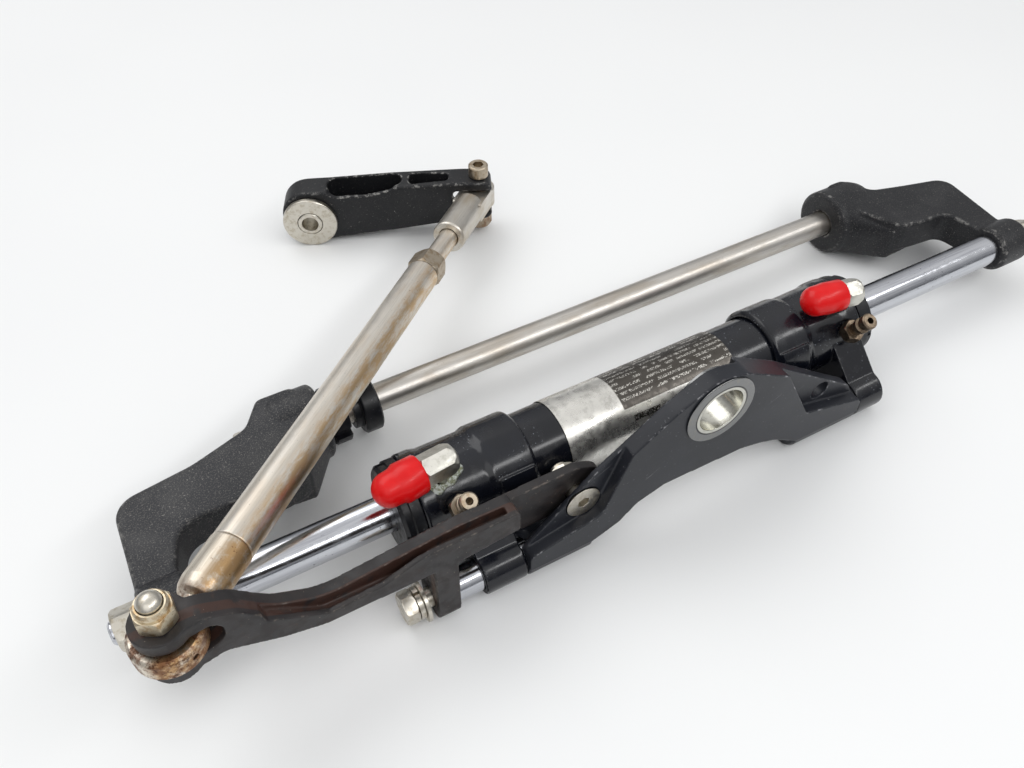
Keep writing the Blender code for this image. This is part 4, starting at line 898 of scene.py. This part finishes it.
def boss_web(span):
    """Web that joins a cap to its pivot boss."""
    reach = Vector(PIVOT_AXIS).normalized()
    side = Vector((-reach.y, reach.x))
    pivot = Vector(PIVOT_AXIS)
    outline = [side * 21.0, pivot + side * 8.5, pivot - side * 8.5, side * -21.0]
    return prism(outline, "YZ", span[0], span[1])


def build_cap(name, body, span, boss, outward, bleeder_x):
    """End cap: barrel socket, rod bore, pivot boss and the bleeder's flat."""
    low, high = span
    outer_end = low if outward < 0 else high
    inner_end = high if outward < 0 else low
    length = high - low
    start = (outer_end, 0.0, 0.0)
    inward = AXIS_X * -outward
    cap = turned(
        [(length, 0.0), (length, 22.6), (length - 1.8, CAP_RADIUS), (length - 22.5, CAP_RADIUS),
         (length - 25.5, CAP_RADIUS - 1.2), (12.0, CAP_RADIUS - 1.0), (8.0, CAP_RADIUS), (1.2, CAP_RADIUS),
         (0.0, CAP_RADIUS - 1.2), (0.0, 0.0)], start, inward, 32)
    pad_x = sorted((inner_end + outward * 2.6, inner_end + outward * 21.0))
    pad = arc((0.0, 0.0), CAP_RADIUS + 1.3, 142.0, 208.0, 24) + arc((0.0, 0.0), 22.3, 208.0, 142.0, 24)
    join(cap, prism(pad, "YZ", pad_x[0], pad_x[1]))
    boss_solid = rod(along_x(PIVOT_AXIS), AXIS_X, boss[0], boss[1], BOSS_RADIUS, 20, 0.8)
    join(cap, boss_web(boss), boss_solid)
    barrel_end = BARREL_X[0] if outward < 0 else BARREL_X[1]
    socket_depth = abs(outer_end - barrel_end) - GAP
    socket = rod(start, inward, socket_depth, length + 2.0, BARREL_RADIUS + GAP, 32)
    rod_bore = rod(start, inward, -2.0, socket_depth + 2.0, ROD_RADIUS + GAP, 20)
    pin_bore = rod(along_x(PIVOT_AXIS), AXIS_X, boss[0] - 2.0, boss[1] + 2.0, PIN_RADIUS + 2.0, 20)
    spot = rod((bleeder_x, *BLEEDER_SEAT), BLEEDER_DIRECTION, -GAP, 8.0, 7.2, 20)
    cut(cap, pin_bore, spot, socket, rod_bore)
    finish(cap, name, "anodised_black", body)
    bush = tube(along_x(PIVOT_AXIS), AXIS_X, boss[0], boss[1], PIN_RADIUS + 2.0 - GAP, PIN_RADIUS + GAP, 20)
    finish(bush, name.replace("end_cap", "pivot_bush"), "black_plastic", body)


def build_gland(name, body, span, outward):
    """Gland nut with spanner notches round its rim."""
    start = (span[0] if outward > 0 else span[1], 0.0, 0.0)
    length = span[1] - span[0]
    gland = turned(
        [(length, ROD_RADIUS + GAP), (length, 21.4), (length - 1.6, 23.0), (5.4, 23.0), (4.9, 23.8),
         (0.0, 23.8),
         (0.0, ROD_RADIUS + GAP)], start, AXIS_X * outward, 32, ring=True)
    for index in range(6):
        angle = math.radians(60.0 * index + 20.0)
        notch = box((span[0] - 1.0, -2.2, 21.6), (span[1] + 1.0, 2.2, 26.0))
        notch.data.transform(Matrix.Rotation(angle, 4, "X"))
        tool = box((start[0] + outward * 5.4, -30.0, -30.0),
                   (start[0] + outward * (length + 2.0), 30.0, 30.0))
        if outward < 0:
            tool.data.flip_normals()
        cut(gland, common(notch, tool))
    finish(gland, name, "black_plastic", body)


BLEEDER_SEAT = (-22.6, 11.8)
BLEEDER_DIRECTION = Vector((0.0, -0.5, 0.866)).normalized()
ELBOW_HEIGHT = 35.7
CAP_LENGTH = 24.0


def build_bleeder(name, body, x, material):
    """Bleeder screw: hexagon, neck and barbed tip with its outlet."""
    start = (x, *BLEEDER_SEAT)
    tip = turned(
        [(20.0, 0.0), (20.0, 3.7), (19.2, 4.4), (16.0, 4.4), (15.2, 3.2), (13.6, 3.2), (12.8, 4.4),
         (10.6, 4.4),
         (9.8, 3.6), (3.0, 3.6), (3.0, 0.0)], start, BLEEDER_DIRECTION, 16)
    collar = common(hexagon(start, BLEEDER_DIRECTION, 0.0, 6.0, 11.0),
                    rod(start, BLEEDER_DIRECTION, -0.01, 6.01, 11.0 / math.sqrt(3.0), 18, 0.8))
    join(tip, collar)
    cut(tip, rod(start, BLEEDER_DIRECTION, 8.0, 22.0, 1.8, 12))
    finish(tip, name, material, body)


def elbow_stem(lean):
    """Way an elbow's stem leaves the cylinder, leaned from straight up towards the pivot plate."""
    return Vector((0.0, -math.sin(math.radians(lean)), math.cos(math.radians(lean))))


def elbow_direction(outward, yaw):
    """Way an elbow points, along -X and turned about Z."""
    angle = math.radians(yaw)
    return Vector((-math.cos(angle), math.sin(angle) * outward, 0.0))


def build_elbow(side, body, cap_body, x, stem_way, direction, shank_ends, stem_flats):
    """Hexagonal port elbow and the soft cap pushed over its nipple."""
    back, front = shank_ends
    centre = Vector((x, 0.0, 0.0)) + stem_way * ELBOW_HEIGHT
    shank = common(hexagon(centre, direction, back, front, 13.4),
                   turned([(front, 0.0), (front, 6.8), (front - 1.0, 7.8), (back + 4.5, 7.8),
                           (back + 1.5, 6.4), (back, 3.6), (back, 0.0)], centre, direction, 20))
    stem = hexagon((x, 0.0, 0.0), stem_way, CAP_RADIUS + GAP, ELBOW_HEIGHT, stem_flats)
    nipple = rod(centre, direction, front - 1.0, front + 16.0, 5.0, 20, 0.6)
    join(shank, stem, nipple)
    cut(shank, rod(centre, direction, front - 2.0, front + 18.0, 3.0, 16))
    finish(shank, side + "_port_elbow", "elbow_metal", body)
    start = centre + direction * (front + GAP)
    profile = [(CAP_LENGTH, 0.0)]
    profile += [(CAP_LENGTH - 7.5 + 7.5 * math.cos(math.radians(a)), 8.2 * math.sin(math.radians(a)))
                for a in (12.0, 24.0, 36.0, 48.0, 60.0, 72.0, 84.0)]
    sleeve = 9.6 if side == "left" else 8.75
    profile += [(14.5, 8.3), (12.5, 8.5), (10.5, sleeve), (1.0, sleeve - 0.3), (0.0, sleeve - 0.9),
                (0.0, 5.0 + GAP), (17.0, 5.0 + GAP),
                (17.0, 0.0)]
    cap = turned(profile, start, direction, 18)
    finish(cap, side + "_port_cap", "red_plastic", cap_body)


def build_plate(body):
    """Pivot plate: arched slab with two front pockets and a sleeve at each lower corner."""
    outline = rounded([
        (-89.6, -19.2, 0), (-89.6, -9.4, 3), (-84.0, -3.5, 6), (-52.0, 25.0, 40), (-14.0, 51.5, 30),
        (8.0, 62.0, 18), (24.0, 58.0, 16), (52.0, 42.0, 40), (88.0, 16.0, 40), (112.0, -1.0, 8),
        (117.9, -12.0, 3), (117.9, -19.2, 0), (74.4, -19.2, 0), (57.0, -8.2, 6), (46.0, -4.0, 12),
        (33.5, -1.0, 10),
        (-14.0, 0.5, 12), (-30.0, -4.5, 8), (-40.0, -13.5, 8), (-54.6, -19.2, 4),
    ])
    plate = prism(outline, "XZ", -PLATE_REAR_Y, -PLATE_FRONT_Y)
    pivot = along_x(PIVOT_AXIS)
    join(plate, rod(pivot, AXIS_X, LEFT_SLEEVE[0], LEFT_SLEEVE[1], BOSS_RADIUS, 20, 0.8),
         rod(pivot, AXIS_X, RIGHT_SLEEVE[0], RIGHT_SLEEVE[1], BOSS_RADIUS, 20, 0.8))
    left_pocket = rounded([(-100.0, -10.5, 0), (-51.0, 0.0, 7), (-32.0, 48.0, 0), (-60.0, 70.0, 0),
                           (-110.0, 30.0, 0)])
    right_pocket = rounded([(50.0, 47.0, 0), (75.5, 2.5, 4), (130.0, -12.0, 0), (130.0, 30.0, 0),
                            (90.0, 60.0, 0)])
    rear_step = [(-100.0, -12.0), (-88.0, -12.0), (-49.0, 16.5), (-14.0, 40.5), (8.0, 52.0), (24.0, 53.0),
                 (24.0, 80.0),
                 (-100.0, 80.0)]
    cut(plate, prism(left_pocket, "XZ", -PLATE_FLOOR_Y, 60.0),
        prism(right_pocket, "XZ", -PLATE_FLOOR_Y, 60.0),
        prism(rear_step, "XZ", 30.0, 42.0))
    cut(plate,
        rod(pivot, AXIS_X, LEFT_SLEEVE[0] - 2.0, -56.5, PIN_RADIUS + GAP, 20),
        rod(pivot, AXIS_X, 77.0, RIGHT_SLEEVE[1] + 2.0, PIN_RADIUS + GAP, 20),
        rod((BUSHING_CENTRE[0], 0.0, BUSHING_CENTRE[1]), AXIS_Y, -60.0, -30.0, 15.8, 32),
        rod((88.5, 0.0, 7.0), AXIS_Y, -60.0, -30.0, 5.5, 20),
        rod((SCREW_CENTRE[0], 0.0, SCREW_CENTRE[1]), AXIS_Y, -60.0, -30.0, 5.1, 20),
        turned([(-40.0, 0.0), (-40.0, 5.0), (-44.4, 9.4), (-46.0, 9.4), (-46.0, 0.0)],
               (SCREW_CENTRE[0], 0.0, SCREW_CENTRE[1]), AXIS_Y, 20))
    finish(plate, "pivot_plate", "plate_black", body)


def build_plate_fittings(body):
    """Pivot pins, tiller bushing and the countersunk screw with its nut."""
    pivot = along_x(PIVOT_AXIS)
    left_pin = rod(pivot, AXIS_X, LUG_X[1] + GAP, -57.0, PIN_RADIUS, 20, 0.6)
    cut(left_pin, rod(pivot, AXIS_X, LUG_X[1] - 2.0, -98.0, 5.1, 20))
    finish(left_pin, "left_pivot_pin", "chrome", body)
    right_pin = rod(pivot, AXIS_X, 77.5, 136.8, PIN_RADIUS, 20, 0.6)
    finish(right_pin, "right_pivot_pin", "chrome", body)
    centre = (BUSHING_CENTRE[0], 0.0, BUSHING_CENTRE[1])
    bushing = turned([(-38.0, 12.4), (-38.0, 15.5), (PLATE_FRONT_Y - GAP, 15.5),
                      (PLATE_FRONT_Y - GAP, 19.3),
                      (-51.8, 19.3), (-52.1, 18.9), (-52.1, 12.4)], centre, AXIS_Y, 32, ring=True)
    finish(bushing, "tiller_bushing", "bushing_steel", body)
    centre = (SCREW_CENTRE[0], 0.0, SCREW_CENTRE[1])
    screw = turned([(-21.5, 0.0), (-21.5, 4.0), (-22.3, 4.76), (-40.6, 4.76), (-44.8, 9.0), (-45.2, 9.0),
                    (-45.2, 0.0)], centre, AXIS_Y, 20)
    cut(screw, hexagon(centre, AXIS_Y, -46.0, -41.5, 5.6))
    finish(screw, "countersunk_screw", "stainless", body)
    nut = hex_nut(centre, AXIS_Y, TONGUE_Y[1] + GAP, TONGUE_Y[1] + 8.0, 14.3, 5.06, 1.0)
    finish(nut, "countersunk_nut", "stainless", body)


def build_arm(body):
    """Forged arm: fork at the far end, channelled bar, lug on the pivot pin and a rear tongue."""
    ear = (BALL.x, BALL.y)
    plan = [Vector((-95.0, ARM_FRONT_Y)), Vector((-95.0, ARM_REAR_Y)), Vector((-222.0, ARM_REAR_Y))]
    plan += arc(ear, EAR_RADIUS, 24.0, 310.0, 48)
    plan += [Vector((-226.0, ARM_FRONT_Y))]
    side = rounded([
        (-94.5, 18.4, 2), (-94.5, 31.5, 4), (-122.0, 32.3, 30), (-150.0, 29.4, 60), (-184.0, 26.0, 30),
        (-204.0, 36.0, 30), (-217.0, 51.0, 14), (-230.0, BALL.z + FORK_HALF, 16),
        (-262.0, BALL.z + FORK_HALF, 0),
        (-262.0, BALL.z - FORK_HALF, 0), (-225.0, BALL.z - FORK_HALF, 12), (-204.0, 20.5, 30),
        (-186.0, 15.6, 30),
        (-138.0, 15.4, 0), (-126.0, 14.8, 0),
    ])
    arm = prism(plan, "XY", 0.0, 70.0)
    common(arm, prism(side, "XZ", 20.0, 60.0))
    lug = prism(rounded([(ARM_FRONT_Y, -29.4, 9), (-29.2, -29.4, 9), (-29.2, -12.0, 6), (-38.0, 2.0, 5),
                         (-38.0, 20.0, 0), (ARM_FRONT_Y, 20.0, 0)]), "YZ", LUG_X[0], LUG_X[1])
    tongue = prism(rounded([(-104.0, 5.0, 3), (-88.0, 5.0, 3), (-88.0, -3.0, 2), (-44.0, -3.0, 8),
                            (-44.0, 18.0, 10), (-58.0, 25.0, 10),
                            (-104.0, 24.2, 2)]), "XZ", -TONGUE_Y[1], -TONGUE_Y[0])
    shoulder = box((-103.5, -45.0, 18.8), (-95.5, -34.0, 24.0))
    join(arm, lug, tongue, shoulder)
    channel = prism(rounded([(-100.0, 26.0, 2), (-100.0, 45.0, 0), (-203.0, 45.0, 0), (-207.0, 36.0, 3),
                             (-186.0, 21.0, 10), (-150.0, 20.5, 0), (-136.0, 26.0, 4)]), "XZ", 44.0, 47.4)
    ledge = prism([(-90.0, 31.0), (-90.0, 60.0), (-214.0, 60.0), (-208.0, 36.5), (-184.0, 22.5),
                   (-160.0, 24.0),
                   (-142.0, 30.6)], "XZ", 44.2, 60.0)
    slot = prism(rounded([(-270.0, BALL.z - SLOT_HALF, 0), (-223.5, BALL.z - SLOT_HALF, SLOT_HALF - 0.1),
                          (-223.5, BALL.z + SLOT_HALF, SLOT_HALF - 0.1), (-270.0, BALL.z + SLOT_HALF, 0)]),
                 "XZ", 20.0, 65.0)
    ear_hole = rod((BALL.x, BALL.y, 0.0), AXIS_Z, 20.0, 65.0, 5.06, 20)
    lug_hole = rod(along_x(PIVOT_AXIS), AXIS_X, LUG_X[0] - 2.0, LUG_X[1] + 2.0, 5.1, 20)
    screw_hole = rod((SCREW_CENTRE[0], 0.0, SCREW_CENTRE[1]), AXIS_Y, -39.0, -30.0, 5.1, 20)
    cut(arm, channel, ledge, slot, ear_hole, lug_hole, screw_hole)
    finish(arm, "tie_bar_bracket", "forged_black", body)


def build_arm_fasteners(body):
    """Bolt and washers on the lug, clevis bolt and locking nut on the fork."""
    pivot = along_x(PIVOT_AXIS)
    bolt = rod(pivot, AXIS_X, -145.5, -99.0, 4.76, 20, 0.6)
    join(bolt, common(hexagon(pivot, AXIS_X, -151.5, -145.2, 14.3),
                      rod(pivot, AXIS_X, -151.51, -145.19, 14.3 / math.sqrt(3.0), 18, 0.9)))
    finish(bolt, "bracket_bolt", "stainless", body)
    spring = tube(pivot, AXIS_X, -144.9, -142.5, 8.0, 5.1, 20)
    cut(spring, box((-146.0, PIVOT_AXIS[0] - 0.8, PIVOT_AXIS[1]),
                    (-142.0, PIVOT_AXIS[0] + 0.8, PIVOT_AXIS[1] + 10.0)))
    finish(spring, "spring_washer", "stainless", body)
    flat = tube(pivot, AXIS_X, -142.2, -140.4, 10.4, 5.1, 20)
    finish(flat, "flat_washer", "stainless", body)
    centre = (BALL.x, BALL.y, 0.0)
    low = BALL.z - FORK_HALF - GAP
    high = BALL.z + FORK_HALF + GAP
    clevis = turned([(73.0, 0.0), (72.6, 2.4), (71.4, 4.0), (70.2, 4.76), (low - 0.2, 4.76),
                     (low - 0.2, 0.0)],
                    centre, AXIS_Z, 20)
    join(clevis, common(hexagon(centre, AXIS_Z, low - 5.8, low, 14.3),
                        rod(centre, AXIS_Z, low - 5.81, low + 0.01, 14.3 / math.sqrt(3.0), 18, 0.9)))
    finish(clevis, "clevis_bolt", "stainless", body)
    nut = common(hexagon(centre, AXIS_Z, high, high + 8.0, 14.3),
                 rod(centre, AXIS_Z, high - 0.01, high + 8.01, 14.3 / math.sqrt(3.0), 18, 1.0))
    join(nut, turned([(high + 11.0, 0.0), (high + 11.0, 5.8), (high + 10.0, 6.6), (high + 7.0, 6.7),
                      (high + 7.0, 0.0)], centre, AXIS_Z, 20))
    cut(nut, rod(centre, AXIS_Z, high - 1.0, high + 13.0, 5.06, 20))
    finish(nut, "nylock_nut", "zinc_yellow", body)


def build_ball(body):
    """Drilled ball clamped in the fork."""
    sphere = ball(BALL, 9.2)
    common(sphere, rod(BALL, AXIS_Z, -6.9, 6.9, 12.0, 20))
    cut(sphere, rod(BALL, AXIS_Z, -10.0, 10.0, 5.06, 20))
    finish(sphere, "spherical_ball", "stainless", body)


def build_tie_bar(body):
    """Rod end, tube, jam nut and swivel stud in one line from the ball to the link pin."""
    eye = turned([(5.7, 0.0), (5.7, 13.2), (4.3, 14.6), (-4.3, 14.6), (-5.7, 13.2), (-5.7, 0.0)], BALL,
                 AXIS_Z, 24)
    shank = TUBE_RADIUS + 0.35
    socket = turned([(46.0, 0.0), (46.0, shank - 0.7), (45.3, shank), (24.5, shank), (21.0, shank - 0.6),
                     (18.8, 8.2), (17.0, 5.2), (10.0, 5.2), (10.0, 0.0)], BALL, BAR_DIRECTION, 20)
    join(eye, socket)
    cut(eye, ball(BALL, 9.5), rod(BALL, AXIS_Z, -8.0, 8.0, 6.6, 20))
    side = BAR_DIRECTION.cross(AXIS_Z).normalized()
    grease = (Vector((0.0, 0.0, 0.0)) + side * 0.75 - BAR_DIRECTION * 0.2).normalized()
    cut(eye, rod(BALL, Vector((grease.x, grease.y, 0.0)), 8.0, 17.0, 1.3, 10))
    finish(eye, "rod_end", "rod_end_steel", body)
    bar = tube(BALL, BAR_DIRECTION, 46.15, 265.0, TUBE_RADIUS, 6.5, 20, 0.4)
    finish(bar, "tie_bar_tube", "tie_bar_steel", body)
    nut = hex_nut(BALL, BAR_DIRECTION, 265.3, 279.0, 18.6, 6.3, 1.4)
    finish(nut, "jam_nut", "stained_steel", body)
    stud = rod(BALL, BAR_DIRECTION, 240.0, 332.0, 6.0, 20, 0.8)
    finish(stud, "tie_bar_stud", "tie_bar_steel", body)


def build_clevis(body):
    """Swivel clevis: barrel on the stud and a flat tongue on the link pin."""
    barrel = turned([(354.0, 0.0), (354.0, 8.0), (351.0, 10.4), (311.0, 10.4), (310.0, 9.6), (310.0, 0.0)],
                    BALL, BAR_DIRECTION, 20)
    tongue = rod(LINK_PIN, AXIS_Z, -7.0, 7.0, 10.4, 24, 1.0)
    side = BAR_DIRECTION.cross(AXIS_Z).normalized()
    neck = prism([(-9.8, -6.6), (9.8, -6.6), (9.8, 6.6), (-9.8, 6.6)], "XY", 346.0, BAR_LENGTH - 2.0)
    frame = Matrix((
        (side.x, 0.0, BAR_DIRECTION.x, BALL.x * MM),
        (side.y, 0.0, BAR_DIRECTION.y, BALL.y * MM),
        (side.z, 1.0, BAR_DIRECTION.z, BALL.z * MM),
        (0.0, 0.0, 0.0, 1.0),
    ))
    neck.data.transform(frame)
    neck.data.flip_normals()
    join(barrel, neck, tongue)
    cut(barrel, rod(BALL, BAR_DIRECTION, 300.0, 334.0, 6.0 + GAP, 20),
        rod(LINK_PIN, AXIS_Z, -14.0, 14.0, 5.06, 20))
    finish(barrel, "swivel_clevis", "clevis_steel", body)


def build_link_arm(body):
    """Cast link arm: fork at the pin, two pockets on top and an eye at the far end."""
    outline = rounded([
        (-8.5, -17.0, 6), (-8.5, 11.5, 6), (12.0, 12.0, 20), (60.0, 11.0, 60), (98.0, 9.0, 16),
        (LINK_LENGTH + 18.0, 8.0, 18), (LINK_LENGTH + 18.0, -29.5, 18), (100.0, -28.5, 14),
        (50.0, -22.5, 60), (14.0, -17.5, 20),
    ])
    arm = prism(outline, "LINK", -9.5, 9.5, 1.8)
    slot = prism(rounded([(-20.0, -11.8, 0), (17.5, -11.8, 3), (17.5, 5.8, 3), (-20.0, 5.8, 0)]), "LINK",
                 -15.0, 15.0)
    big = prism(rounded([(51.0, -6.9, 6.2), (100.0, -6.9, 6.2), (100.0, 6.9, 6.2), (51.0, 6.9, 6.2)]),
                "LINK_TOP", -14.0, 20.0)
    small = prism(rounded([(20.0, -4.0, 3.0), (46.0, -6.4, 3.4), (46.0, 6.4, 3.4), (20.0, 4.0, 3.0)]),
                  "LINK_TOP", -10.0, 20.0)
    saddle = prism(rounded([(50.0, 16.0, 0), (58.0, 8.6, 8), (74.0, 5.2, 12), (98.0, 4.6, 8),
                            (104.0, 16.0, 0)]),
                   "LINK", -12.0, -5.0)
    cut(arm, saddle)
    cut(arm, slot, big, small, rod(LINK_PIN, AXIS_Z, -30.0, 30.0, 5.06, 20),
        rod(LINK_EYE, LINK_NORMAL, -15.0, 15.0, 8.3, 20))
    finish(arm, "link_arm", "satin_black", body)


def build_link_fittings(body):
    """Washers and bushing of the link arm's eye, and the bolt and nut of its pin."""
    for node, near, far, radius, bore, segments, chamfer in (
            ("front_washer", 9.8, 13.8, DISC_RADIUS, 8.3, 32, 0.6),
            ("rear_washer", -11.8, -9.8, 15.0, 8.3, 20, 0.4),
            ("eye_bushing", -13.0, 14.4, 8.0, 5.4, 20, 0.5)):
        ring = tube(LINK_EYE, LINK_NORMAL, near, far, radius, bore, segments, chamfer)
        finish(ring, node, "stainless", body)
    top = 12.0 + GAP
    bottom = -17.2 - GAP
    base = (LINK_PIN.x, LINK_PIN.y, 0.0)
    pin = turned([(top + 8.0, 0.0), (top + 8.0, 5.6), (top + 7.2, 6.5), (top, 6.5), (top, 4.76),
                  (bottom - 9.2, 4.76), (bottom - 9.9, 4.0), (bottom - 9.9, 0.0)], base, AXIS_Z, 20)
    cut(pin, hexagon(base, AXIS_Z, top + 3.6, top + 10.0, 6.4))
    finish(pin, "link_pin_bolt", "stained_steel", body)
    nut = hex_nut(base, AXIS_Z, bottom - 8.2, bottom, 14.3, 5.06, 1.0)
    finish(nut, "link_pin_nut", "rusty_steel", body)


# ---------------------------------------------------------------- extra surface detail

def crust_loop(work, x, stem_way, reach, height, count):
    """One wavy ring of the crust, at a height over the end cap's surface."""
    loop = []
    for index in range(count):
        angle = 2.0 * math.pi * index / count
        wobble = 1.0 + 0.12 * math.sin(3.0 * angle + 1.0) + 0.07 * math.sin(7.0 * angle)
        along = reach * wobble * math.cos(angle)
        around = reach * wobble * math.sin(angle) / CAP_RADIUS
        way = Matrix.Rotation(around, 3, "X") @ stem_way
        centre = Vector((x + along, 0.0, 0.0))
        loop.append(work.verts.new((centre + way * (CAP_RADIUS + height)) * MM))
    return loop


def build_deposit(x, stem_way, body):
    """Crust of corrosion round the foot of an elbow."""
    work = bmesh.new()
    count = 40
    foot = Vector((x, 0.0, 0.0)) + stem_way * (CAP_RADIUS + 0.1)
    loops = [crust_loop(work, x, stem_way, reach, height, count)
             for reach, height in ((5.5, 1.1), (7.2, 0.8), (8.8, 0.3), (9.8, -0.5))]
    sunk = foot - stem_way * 2.0
    loops.insert(0, [work.verts.new(((v.co / MM - foot) * 0.9 + sunk) * MM) for v in loops[0]])
    for first, second in zip(loops, loops[1:]):
        for index in range(count):
            after = (index + 1) % count
            work.faces.new((first[index], first[after], second[after], second[index]))
    work.faces.new(loops[0][::-1])
    work.faces.new(loops[-1])
    bmesh.ops.recalc_face_normals(work, faces=work.faces)
    crust = from_bmesh(work, "deposit")
    crust.name = "elbow_deposit"
    crust.data.shade_smooth()
    crust.data.transform(Matrix.Translation(KIT_ORIGIN))
    crust.data.materials.append(MATERIALS["deposit"])
    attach(crust, body)


def build_kit():
    """Every piece, each on its own body."""
    left_x, right_x = -113.6, 130.6
    left_stem, right_stem = elbow_stem(17.0), elbow_stem(21.7)
    build_brackets("support_frame")
    build_rods("support_frame")
    build_barrel("cylinder")
    build_cap("left_end_cap", "cylinder", LEFT_CAP, LEFT_BOSS, -1.0, -111.0)
    build_cap("right_end_cap", "cylinder", RIGHT_CAP, RIGHT_BOSS, 1.0, 128.0)
    build_gland("left_gland_nut", "cylinder", LEFT_GLAND, -1.0)
    build_gland("right_gland_nut", "cylinder", RIGHT_GLAND, 1.0)
    build_bleeder("left_bleeder", "cylinder", -111.0, "stained_steel")
    build_bleeder("right_bleeder", "cylinder", 128.0, "bronze")
    build_elbow("left", "cylinder", "left_plug", left_x, left_stem, elbow_direction(-1.0, 5.5),
                (-7.5, 10.5), 11.5)
    build_elbow("right", "cylinder", "right_plug", right_x, right_stem, elbow_direction(1.0, 10.0),
                (-6.0, 5.2), 9.4)
    build_plate("pivot_plate_body")
    build_plate_fittings("pivot_plate_body")
    build_arm("pivot_plate_body")
    build_arm_fasteners("pivot_plate_body")
    build_ball("ball_body")
    build_tie_bar("tie_bar_body")
    build_clevis("clevis_body")
    build_link_arm("link_body")
    build_link_fittings("link_body")
    build_deposit(left_x, left_stem, "cylinder")
    frame["nodes"]["piston"].data.materials.clear()
    frame["nodes"]["piston"].data.materials.append(MATERIALS["stainless"])


build_kit()


# ---------------------------------------------------------------- studio

def build_floor():
    """Pale flat table, reaching out of sight."""
    mesh = bpy.data.meshes.new("table_top")
    half = 14.0
    mesh.from_pydata([(-half, -half, 0.0), (half, -half, 0.0), (half, half, 0.0), (-half, half, 0.0)], [],
                     [(0, 1, 2, 3)])
    floor = bpy.data.objects.new("table_top", mesh)
    bpy.context.scene.collection.objects.link(floor)
    s = Surface("pale_table", srgb(238, 239, 239), 0.55)
    s.paint(s.band(s.noise(400.0, 2.0), 0.35, 0.7, 0.4), srgb(232, 233, 234))
    mesh.materials.append(s.done())


def build_world():
    """Bright dome that darkens towards the horizon, behind a pale backdrop."""
    world = bpy.data.worlds.new("studio")
    bpy.context.scene.world = world
    world.use_nodes = True
    nodes = world.node_tree.nodes
    links = world.node_tree.links
    place = nodes.new("ShaderNodeTexCoord")
    split = nodes.new("ShaderNodeSeparateXYZ")
    ramp = nodes.new("ShaderNodeValToRGB")
    ramp.color_ramp.elements[0].position = 0.02
    ramp.color_ramp.elements[0].color = (0.16, 0.165, 0.18, 1.0)
    ramp.color_ramp.elements[1].position = 0.75
    ramp.color_ramp.elements[1].color = (1.0, 1.0, 1.0, 1.0)
    links.new(place.outputs["Generated"], split.inputs["Vector"])
    links.new(split.outputs["Z"], ramp.inputs["Fac"])
    seen = nodes.new("ShaderNodeMix")
    seen.data_type = "RGBA"
    links.new(nodes.new("ShaderNodeLightPath").outputs["Is Camera Ray"], seen.inputs["Factor"])
    links.new(ramp.outputs["Color"], seen.inputs[6])
    seen.inputs[7].default_value = (0.92, 0.93, 0.94, 1.0)
    links.new(seen.outputs[2], nodes["Background"].inputs["Color"])
    nodes["Background"].inputs["Strength"].default_value = 0.84


def area_light(name, place, target, size, power):
    """Soft rectangular lamp aimed at a point."""
    lamp = bpy.data.lights.new(name, "AREA")
    lamp.shape = "RECTANGLE"
    lamp.size = size[0]
    lamp.size_y = size[1]
    lamp.energy = power
    obj = bpy.data.objects.new(name, lamp)
    obj.location = place
    obj.rotation_euler = (Vector(target) - Vector(place)).to_track_quat("-Z", "Y").to_euler()
    bpy.context.scene.collection.objects.link(obj)


def build_camera():
    right = Vector((0.87088, -0.49150, 0.0))
    up = Vector((0.35610, 0.63098, 0.68925))
    back = right.cross(up)
    camera = bpy.data.cameras.new("view")
    camera.lens = 32.48
    camera.sensor_width = 36.0
    obj = bpy.data.objects.new("view", camera)
    turn = Matrix((right, up, back)).transposed()
    obj.matrix_world = Matrix.Translation(KIT_ORIGIN + Vector((-214.2, -253.5, 359.6)) * MM) @ turn.to_4x4()
    bpy.context.scene.collection.objects.link(obj)
    bpy.context.scene.camera = obj


build_floor()
build_world()
for lamp in (("key", (-0.5, 0.9, 1.5), (0.0, 0.0, 0.0), (1.7, 1.1), 9.5),
             ("fill", (-0.9, -1.3, 1.2), (0.0, 0.0, 0.05), (1.4, 1.4), 4.0),
             ("strip", (0.4, -0.85, 1.0), (0.0, -0.05, 0.03), (1.6, 0.16), 5.0)):
    area_light(*lamp)
build_camera()
bpy.context.scene.view_settings.view_transform = "Standard"
